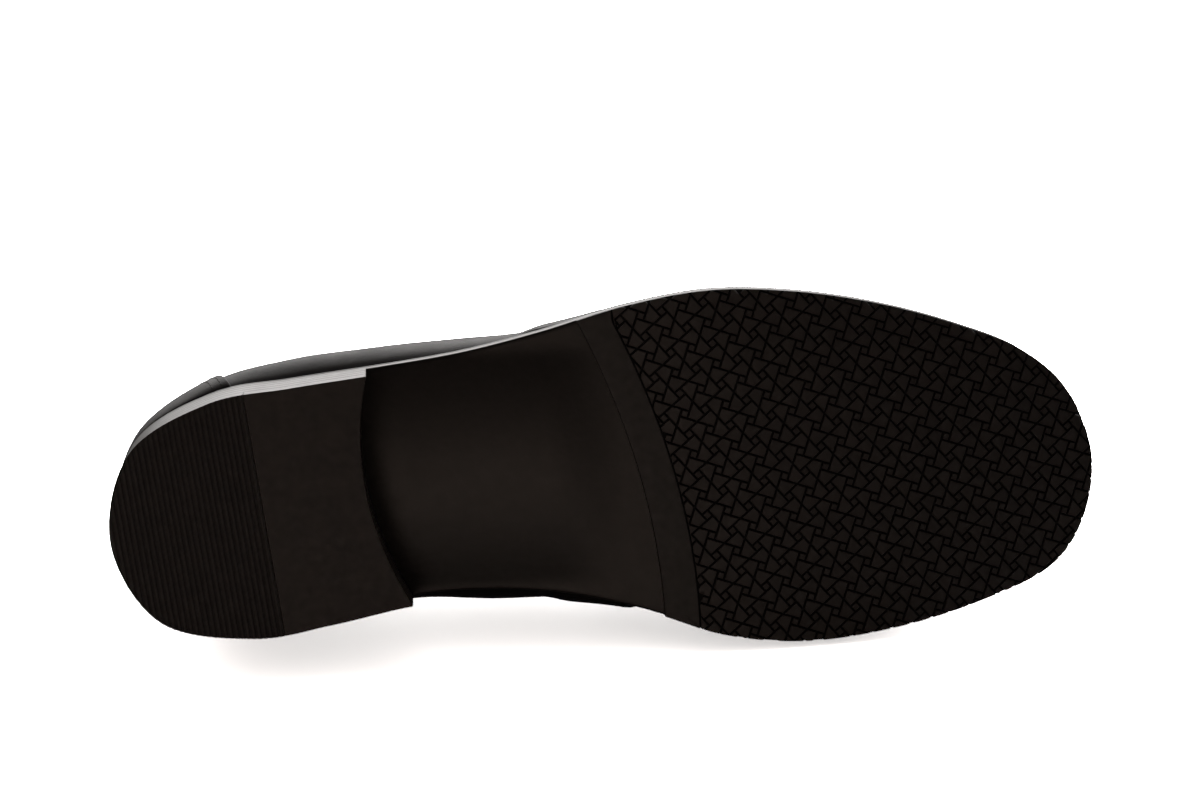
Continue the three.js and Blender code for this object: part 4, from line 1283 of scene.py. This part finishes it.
def make_tongue():
    """The tongue's leather and its lining, with round corners at the top and an edge seam."""
    f = graded(90, 0.01)[:, None]
    g = (2 * graded(46, 0.02) - 1)[None, :]
    corner = smooth(0.55, 1.0, np.abs(g)) ** 1.5 * 0.055
    f, g = np.broadcast_arrays(f * (1 - corner * f**6), g)
    base = tongue_spot(f, g, np.full_like(f, OVERLAY_T))
    top = tongue_spot(f, g, OVERLAY_T * (1 - cut_edge(edge_taper(base, 0.8))))
    piece = finish_mesh("tongue_leather", *shell(top, base), [upper_leather()], sharp=60)
    ride_as(piece, "upper_leather", "tongue")
    high, low = (tongue_spot(f, g, np.full_like(f, depth)) for depth in (1.3, 2.6))
    piece = finish_mesh("tongue_lining_leather", *shell(high, low), [lining_leather()], sharp=60)
    ride_as(piece, "lining_leather", "tongue_lining")
    up = np.linspace(0.5, 0.955, 90)
    rows = [tongue_seam(up, np.full_like(up, side * 0.86)) for side in (-1, 1)]
    rows.append(tongue_seam(np.full(60, 0.955), np.linspace(-0.86, 0.86, 60)))
    thread_piece("tongue_stitching", rows, 0.22)


def eyelet_frames(inner):
    """Each eyelet of one side: its station, v, top, spot and normal, and the facing's edge."""
    t = np.linspace(7.5, 5.8, EYELET_PAIRS)
    station = 2 * HALF - t if inner else t
    v = v_short_of(station, FACING_GAP + EYELET_INSET)
    edge = v_short_of(station, FACING_GAP)
    low = [quarter_low(t + move, v / edge) for move in (-0.16, 0.16)]
    columns = dict(
        t=t, station=station, v=v, edge=edge, top=np.maximum(*low) + LEATHER_T,
        point=last(station, v), out=normal(station, v),
    )
    return [dict(zip(columns, row)) for row in zip(*columns.values())]


def make_eyelets():
    """Rolled metal eyelets: one rounded section turned about each hole's axis."""
    profile = np.array(
        [
            [2.2, 0.0], [2.7, 0.0], [2.7, 1.0], [2.75, 1.9], [3.55, 2.0], [3.7, 2.12], [3.62, 2.34],
            [3.3, 2.52], [2.9, 2.58], [2.5, 2.5], [2.28, 2.28], [2.2, 2.0], [2.2, 0.0],
        ]
    )
    turn = np.linspace(0, 2 * math.pi, 33)
    points, faces, start = [], [], 0
    for inner in (False, True):
        for e in eyelet_frames(inner):
            out = e["out"]
            one = unit(np.cross(out, [0.0, 0.0, 1.0])[None])[0]
            two = np.cross(out, one)
            height = np.where(profile[:, 1] > 1.5, profile[:, 1] - 1.95 + e["top"], profile[:, 1])
            ring = np.cos(turn)[:, None, None] * one + np.sin(turn)[:, None, None] * two
            grid = e["point"] + ring * profile[None, :, 0:1] + out * height[None, :, None]
            points.append(grid.reshape(-1, 3))
            faces += grid_array(*grid.shape[:2], start).tolist()
            start += grid.shape[0] * grid.shape[1]
    metal = plain_metal("eyelet_metal", (0.022, 0.022, 0.024), 0.34)
    piece = finish_mesh("eyelets", np.vstack(points), faces, [metal])
    nodes = [f"eyelet_{s}_{k}" for s in ("lateral", "medial") for k in range(1, EYELET_PAIRS + 1)]
    ride_as(piece, "eyelet_metal", *nodes)


def lace_route():
    """The lace's route: tucked in at the first eyelet, bars across each pair, under to the next."""
    outer, inner = eyelet_frames(False), eyelet_frames(True)
    clear = LACE_R + GAP
    points = []
    for t in (6.1, 6.45, 6.8, 7.15):
        points.append(skin(t, v_short_of(t, FACING_GAP + EYELET_INSET + 6.5), -clear - 0.5))

    def through(e):
        """Spots from under an eyelet, up through it and over to the facing's edge."""
        bar = e["top"] + 0.7 + GAP + clear
        lean = lerp(e["v"], e["edge"], 0.3)
        return [
            e["point"] - e["out"] * (clear + 0.9),
            e["point"] + e["out"] * e["top"] / 2,
            e["point"] + e["out"] * (e["top"] + 1.1),
            skin(e["station"], lean, bar + 0.6),
            skin(e["station"], e["edge"], bar - 0.3),
        ]

    for k in range(EYELET_PAIRS):
        left, right = outer[k], inner[k]
        over = skin(left["station"], 1.0, left["top"] - 1.6)
        points += [*through(left), over, *through(right)[::-1]]
        if k + 1 < EYELET_PAIRS:
            points.append(skin((left["t"] + outer[k + 1]["t"]) / 2, 1.0, -clear - 0.3))
        else:
            end = 2 * HALF - (left["t"] - 0.3)
            points.append(skin(end, v_short_of(end, 24.0), -clear - 0.8))
    return np.array([np.asarray(p).reshape(3) for p in points])


def spline_through(points, count):
    """Centripetal Catmull-Rom curve through points, at even steps, and its length."""
    p = np.vstack([2 * points[:1] - points[1:2], points, 2 * points[-1:] - points[-2:-1]])
    step = np.sqrt(np.linalg.norm(np.diff(p, axis=0), axis=1))[:, None]
    p0, p1, p2, p3 = p[:-3], p[1:-2], p[2:-1], p[3:]
    d0, d1, d2 = step[:-2], step[1:-1], step[2:]
    m1 = ((p1 - p0) / d0 - (p2 - p0) / (d0 + d1) + (p2 - p1) / d1) * d1
    m2 = ((p2 - p1) / d1 - (p3 - p1) / (d1 + d2) + (p3 - p2) / d2) * d1
    f = np.linspace(0, 1, 60, endpoint=False)[None, :, None]
    p1, p2, m1, m2 = p1[:, None], p2[:, None], m1[:, None], m2[:, None]
    curve = (
        (2 * f**3 - 3 * f**2 + 1) * p1
        + (f**3 - 2 * f**2 + f) * m1
        + (3 * f**2 - 2 * f**3) * p2
        + (f**3 - f**2) * m2
    )
    curve = np.vstack([curve.reshape(-1, 3), points[-1:]])
    run = run_of(curve)
    return at_run(np.linspace(0, run[-1], count), run, curve), run[-1]


def make_lace():
    """A round braided lace: a ring carried along the route, swelled where its strands cross.

    Its radius is 0.93 of the lace's own plus 0.075 of it for each of the two strands' sines.
    """
    count, around = 1500, 16
    centre, length = spline_through(lace_route(), count)
    along = unit(np.gradient(centre, axis=0))
    share = np.linspace(0, 1, count)[:, None]
    guide = lerp(np.array([0.0, 0.0, 1.0]), np.array([1.0, 0.05, 0.0]), smooth(0.02, 0.05, share))
    one = unit(np.cross(along, guide))
    two = np.cross(along, one)
    turn = np.linspace(0, 2 * math.pi, around + 1)[None, :]
    run = share * length
    braid = np.abs(np.sin(2 * turn + run * 1.55)) + np.abs(np.sin(2 * turn - run * 1.55))
    near_end = np.minimum(run, length - run) / LACE_R
    ends = np.sqrt(np.clip(1 - (1 - near_end).clip(0) ** 2, 0, 1))
    radius = LACE_R * (0.93 + 0.075 * braid) * ends
    ring = np.cos(turn)[..., None] * one[:, None] + np.sin(turn)[..., None] * two[:, None]
    grid = centre[:, None] + ring * radius[..., None]
    uv = np.stack(np.broadcast_arrays(turn / (2 * math.pi), run * MM), -1).reshape(-1, 2)
    piece = finish_mesh(
        "lace_braid", grid.reshape(-1, 3), grid_faces(grid), [lace_cotton()],
        weld=1e-6, thin=0, islands=True, uv=uv,
    )
    ride_as(piece, "lace_cotton", "lace")


def dress_hidden_nodes():
    """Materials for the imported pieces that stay: boards, cork, steel and the vamp's lining."""
    nodes = frame["nodes"]
    steel = plain_metal("plain_steel", (0.55, 0.56, 0.57), 0.35)
    leather_board = board("leather_board", (0.42, 0.28, 0.16), 700)
    cork = board("cork_grains", (0.40, 0.25, 0.13), 420)
    finishes = {
        "insole": leather_board,
        "toe_puff": leather_board,
        "heel_stiffener": leather_board,
        "cork_filler": cork,
        "shank_spring": steel,
        "vamp_lining": lining_leather(),
    }
    finishes.update({name: steel for name in nodes if name.startswith("heel_nail_")})
    for name, material in finishes.items():
        mesh = nodes[name].data
        mesh.materials.clear()
        mesh.materials.append(material)


# ---- The stage -------------------------------------------------------------------------------
FLOOR_UP = np.array([0.0, -0.9777, -0.21])  # the shoe lies on its inner side
SHEET_REACH = 4.0


def mix_shaders(tree, share, first, second):
    """A mix of two shader nodes, first at share 0 and second at share 1."""
    node = add_node(tree, "MixShader", Fac=share)
    tree.links.new(first.outputs[0], node.inputs[1])
    tree.links.new(second.outputs[0], node.inputs[2])
    return node


def difference(tree, first, second):
    """A node for first less second, held between 0 and 1."""
    node = add_node(tree, "Math")
    node.operation = "SUBTRACT"
    node.use_clamp = True
    for socket, value in zip(node.inputs, (first, second)):
        if isinstance(value, bpy.types.NodeSocket):
            tree.links.new(value, socket)
        else:
            socket.default_value = value
    return node.outputs[0]


def one_sided(name, shade, seen_gain, glow, all_rays):
    """A pale surface lit from its front only; from behind it isn't there.

    The camera sees its light raised by seen_gain over a glow, as an exposure that leaves the floor
    white does; reflections and bounced light see its plain shade, or nothing without all_rays.
    """
    material = bpy.data.materials.new(name)
    material.use_nodes = True
    tree = material.node_tree
    tree.nodes.clear()
    seen = add_node(tree, "LightPath").outputs["Is Camera Ray"]
    plain = add_node(tree, "BsdfDiffuse", Color=(shade, shade, shade, 1))
    exposed = add_node(tree, "BsdfDiffuse", Color=(seen_gain, seen_gain, seen_gain, 1))
    glowing = add_node(tree, "AddShader")
    tree.links.new(exposed.outputs[0], glowing.inputs[0])
    tree.links.new(add_node(tree, "Emission", Strength=glow).outputs[0], glowing.inputs[1])
    front = mix_shaders(tree, seen, plain, glowing)
    hidden = add_node(tree, "NewGeometry").outputs["Backfacing"]
    if not all_rays:
        hidden = difference(tree, 1, difference(tree, seen, hidden))
    whole = mix_shaders(tree, hidden, front, add_node(tree, "BsdfTransparent"))
    add_node(tree, "OutputMaterial", Surface=whole.outputs[0])
    return material


def pale_sheet(name, centre, up, size, material):
    """A square sheet that reaches size each way from its centre, square to up."""
    up = Vector(up).normalized()
    one = up.orthogonal().normalized()
    two = up.cross(one)
    corners = [(-size, -size), (size, -size), (size, size), (-size, size)]
    mesh = bpy.data.meshes.new(name)
    mesh.from_pydata([tuple(centre + one * a + two * b) for a, b in corners], [], [(0, 1, 2, 3)])
    mesh.materials.append(material)
    sheet = bpy.data.objects.new(name, mesh)
    bpy.context.scene.collection.objects.link(sheet)
    sheet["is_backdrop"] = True


def lamp(name, place, target, size, power, colour=(1, 1, 1)):
    """A rectangular light at a place, turned to a target and left out of the camera's sight."""
    data = bpy.data.lights.new(name, "AREA")
    data.shape = "RECTANGLE"
    data.size, data.size_y = size
    data.energy = power
    data.color = colour
    light = bpy.data.objects.new(name, data)
    light.location = place
    light.rotation_euler = (Vector(target) - Vector(place)).to_track_quat("-Z", "Y").to_euler()
    light.visible_camera = False
    bpy.context.scene.collection.objects.link(light)


def make_world(settings):
    """White to the camera; for light and reflections, bright above and dim below the shoe."""
    world = bpy.data.worlds.new("studio")
    bpy.context.scene.world = world
    world.use_nodes = True
    tree = world.node_tree
    tree.nodes.clear()
    place = add_node(tree, "TexCoord").outputs["Generated"]
    up = add_node(tree, "SeparateXYZ", Vector=place).outputs["Z"]
    height = add_node(tree, "MapRange", Value=up, From_Min=-1)
    ramp = add_node(tree, "ValToRGB", Fac=height.outputs[0])
    above, below = settings.bright, settings.dim
    stops = (
        (0.0, below), (0.36, below), (0.52, above * 0.25), (0.82, above * 0.34),
        (0.95, above * 0.9), (0.99, settings.overhead),
    )
    fill_ramp(ramp, [(share, (v, v * 0.93, v * 0.895)) for share, v in stops])
    light = add_node(tree, "Background", Color=ramp.outputs["Color"])
    white = add_node(tree, "Background", Color=(1, 1, 1, 1), Strength=1.0)
    seen = add_node(tree, "LightPath").outputs["Is Camera Ray"]
    add_node(tree, "OutputWorld", Surface=mix_shaders(tree, seen, light, white).outputs[0])


def make_camera(settings):
    """A long lens on the sole's side of the shoe, which lies on its inner side."""
    place = Vector((-0.05976, -0.16285, -0.990)) + Vector((*FRAME_SHIFT * MM, 0))
    forward = Vector((0.06117, 0.13611, 0.98880)).normalized()
    up = Vector((0.06449, -0.98913, 0.13217))
    right = forward.cross(up).normalized()
    up = right.cross(forward)
    data = bpy.data.cameras.new("camera")
    data.lens = settings.lens
    data.sensor_width = 36
    data.clip_start, data.clip_end = 0.05, 40
    camera = bpy.data.objects.new("camera", data)
    axes = Matrix((right, up, -forward)).transposed()
    camera.matrix_world = Matrix.Translation(place) @ axes.to_4x4()
    bpy.context.scene.collection.objects.link(camera)
    bpy.context.scene.camera = camera


def lowest_along(direction):
    """The least distance of any point of the shoe along a direction."""
    least = []
    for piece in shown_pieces():
        co = np.zeros(len(piece.data.vertices) * 3, np.float32)
        piece.data.vertices.foreach_get("co", co)
        least.append((co.reshape(-1, 3) @ direction).min())
    return float(min(least))


# ---- Settings, operators and the panel -------------------------------------------------------
class ShoeSizes(bpy.types.PropertyGroup):
    """Sizes that change the sole's moulded detail."""

    rib_pitch: FloatProperty(
        name="Rib pitch", description="From one rib of the heel tip to the next",
        default=1.68 * MM, unit="LENGTH", subtype="DISTANCE", precision=5,
    )
    tread_cell: FloatProperty(
        name="Tread cell", description="Side of the tread pattern's square cell",
        default=9.1 * MM, unit="LENGTH", subtype="DISTANCE", precision=5,
    )


class ShoeFinish(bpy.types.PropertyGroup):
    """Colours of the two finishes that show most."""

    leather: FloatVectorProperty(
        name="Upper leather", description="Colour of the upper's leather",
        default=(0.0120, 0.0108, 0.0104), subtype="COLOR", size=3, min=0, max=1,
    )
    sole: FloatVectorProperty(
        name="Sole face", description="Colour of the dyed sole leather",
        default=(0.0125, 0.0082, 0.0062), subtype="COLOR", size=3, min=0, max=1,
    )


class ShoeStage(bpy.types.PropertyGroup):
    """The studio round the shoe."""

    lens: FloatProperty(
        name="Lens", description="Focal length of the camera in millimetres",
        default=98.73, subtype="DISTANCE_CAMERA",
    )
    bright: FloatProperty(
        name="Light above", description="Brightness of the studio above the shoe", default=0.95
    )
    overhead: FloatProperty(
        name="Light overhead", description="Brightness of the studio's zenith", default=1.5
    )
    dim: FloatProperty(
        name="Light below", description="Brightness of the studio under the sole", default=0.05
    )


def make_stage():
    """Camera, studio light, and the two sheets: one under the inner side, one under the heel."""
    settings = bpy.context.scene.shoe_stage
    make_camera(settings)
    make_world(settings)
    middle = np.array([0, 0, 0.04])
    touch = Vector(middle + FLOOR_UP * (lowest_along(FLOOR_UP) - float(FLOOR_UP @ middle)))
    floor = one_sided("pale_floor", 0.5, 16.0, 0.5, True)
    pale_sheet("floor_under_inner_side", touch, FLOOR_UP, SHEET_REACH, floor)
    ground = one_sided("pale_ground", 0.85, 3.2, 0.25, False)
    pale_sheet("ground_under_heel", Vector((0, 0, 0)), (0, 0, 1), SHEET_REACH, ground)
    lamp("overhead_softbox", (0.0, -0.5, 1.15), (0, 0, 0.03), (1.1, 0.5), 2.6)
    lamp("sole_light", (-0.05, 0.34, -1.2), (0, 0, 0.0), (1.7, 0.22), 2.1, (1, 0.76, 0.63))
    lamp("toe_light", (1.05, -0.8, 0.6), (0.02, 0, 0.05), (0.9, 0.6), 7)
    lamp("inner_side_light", (-0.7, 1.0, 0.75), (0, 0, 0.05), (0.9, 0.6), 8)
    view = bpy.context.scene.view_settings
    view.view_transform = "Standard"
    view.look = "None"
    view.exposure = 0
    view.gamma = 1


class SHOE_OT_heel(bpy.types.Operator):
    """Make the stacked heel, its smooth top piece and its ribbed rubber tip"""

    bl_idname = "shoe.heel"
    bl_label = "Heel"

    def execute(self, context):
        make_lifts()
        make_top_piece()
        make_heel_tip()
        return {"FINISHED"}


class SHOE_OT_outsole(bpy.types.Operator):
    """Make the outsole and the stitched welt"""

    bl_idname = "shoe.outsole"
    bl_label = "Outsole and welt"

    def execute(self, context):
        make_outsole()
        make_welt()
        return {"FINISHED"}


class SHOE_OT_tread(bpy.types.Operator):
    """Make the forefoot pad with its smooth band and moulded blocks"""

    bl_idname = "shoe.tread"
    bl_label = "Forefoot tread"

    def execute(self, context):
        make_tread()
        return {"FINISHED"}


class SHOE_OT_inside(bpy.types.Operator):
    """Make the sock liner and the quarter linings"""

    bl_idname = "shoe.inside"
    bl_label = "Linings"

    def execute(self, context):
        make_inside()
        return {"FINISHED"}


class SHOE_OT_upper(bpy.types.Operator):
    """Make the vamp, quarters, counter patch and topline binding"""

    bl_idname = "shoe.upper"
    bl_label = "Upper leathers"

    def execute(self, context):
        make_vamp()
        make_quarters()
        make_counter()
        make_binding()
        return {"FINISHED"}


class SHOE_OT_tongue(bpy.types.Operator):
    """Make the tongue and its lining"""

    bl_idname = "shoe.tongue"
    bl_label = "Tongue"

    def execute(self, context):
        make_tongue()
        return {"FINISHED"}


class SHOE_OT_lacing(bpy.types.Operator):
    """Make the eyelets and the lace"""

    bl_idname = "shoe.lacing"
    bl_label = "Eyelets and lace"

    def execute(self, context):
        make_eyelets()
        make_lace()
        return {"FINISHED"}


class SHOE_OT_hidden(bpy.types.Operator):
    """Give the pieces inside the sole and upper their materials"""

    bl_idname = "shoe.hidden"
    bl_label = "Inner pieces"

    def execute(self, context):
        dress_hidden_nodes()
        return {"FINISHED"}


class SHOE_OT_stage(bpy.types.Operator):
    """Make the camera, the pale floor and the studio light"""

    bl_idname = "shoe.stage"
    bl_label = "Stage"

    def execute(self, context):
        make_stage()
        return {"FINISHED"}


OPERATORS = (
    SHOE_OT_heel, SHOE_OT_outsole, SHOE_OT_tread, SHOE_OT_inside, SHOE_OT_upper,
    SHOE_OT_tongue, SHOE_OT_lacing, SHOE_OT_hidden, SHOE_OT_stage,
)


class SHOE_PT_panel(bpy.types.Panel):
    """Lists the shoe's sizes, colours and pieces"""

    bl_idname = "SHOE_PT_panel"
    bl_label = "Bowling shoe"
    bl_space_type = "VIEW_3D"
    bl_region_type = "UI"
    bl_category = "Shoe"

    def draw(self, context):
        scene = context.scene
        for group in (scene.shoe_sizes, scene.shoe_finish, scene.shoe_stage):
            for name in group.__annotations__:
                self.layout.prop(group, name)
        for made in OPERATORS:
            self.layout.operator(made.bl_idname)


GROUPS = {"shoe_sizes": ShoeSizes, "shoe_finish": ShoeFinish, "shoe_stage": ShoeStage}


def register():
    """Registers the classes and hangs the settings on the scene."""
    for made in (*GROUPS.values(), *OPERATORS, SHOE_PT_panel):
        bpy.utils.register_class(made)
    for name, group in GROUPS.items():
        setattr(bpy.types.Scene, name, PointerProperty(type=group))


def unregister():
    """Takes the settings and the classes away again."""
    for name in GROUPS:
        delattr(bpy.types.Scene, name)
    for made in (SHOE_PT_panel, *reversed(OPERATORS), *reversed(GROUPS.values())):
        bpy.utils.unregister_class(made)


def main():
    """Makes every piece in order."""
    register()
    for made in OPERATORS:
        getattr(bpy.ops.shoe, made.bl_idname.split(".")[1])()


if __name__ == "__main__":
    main()
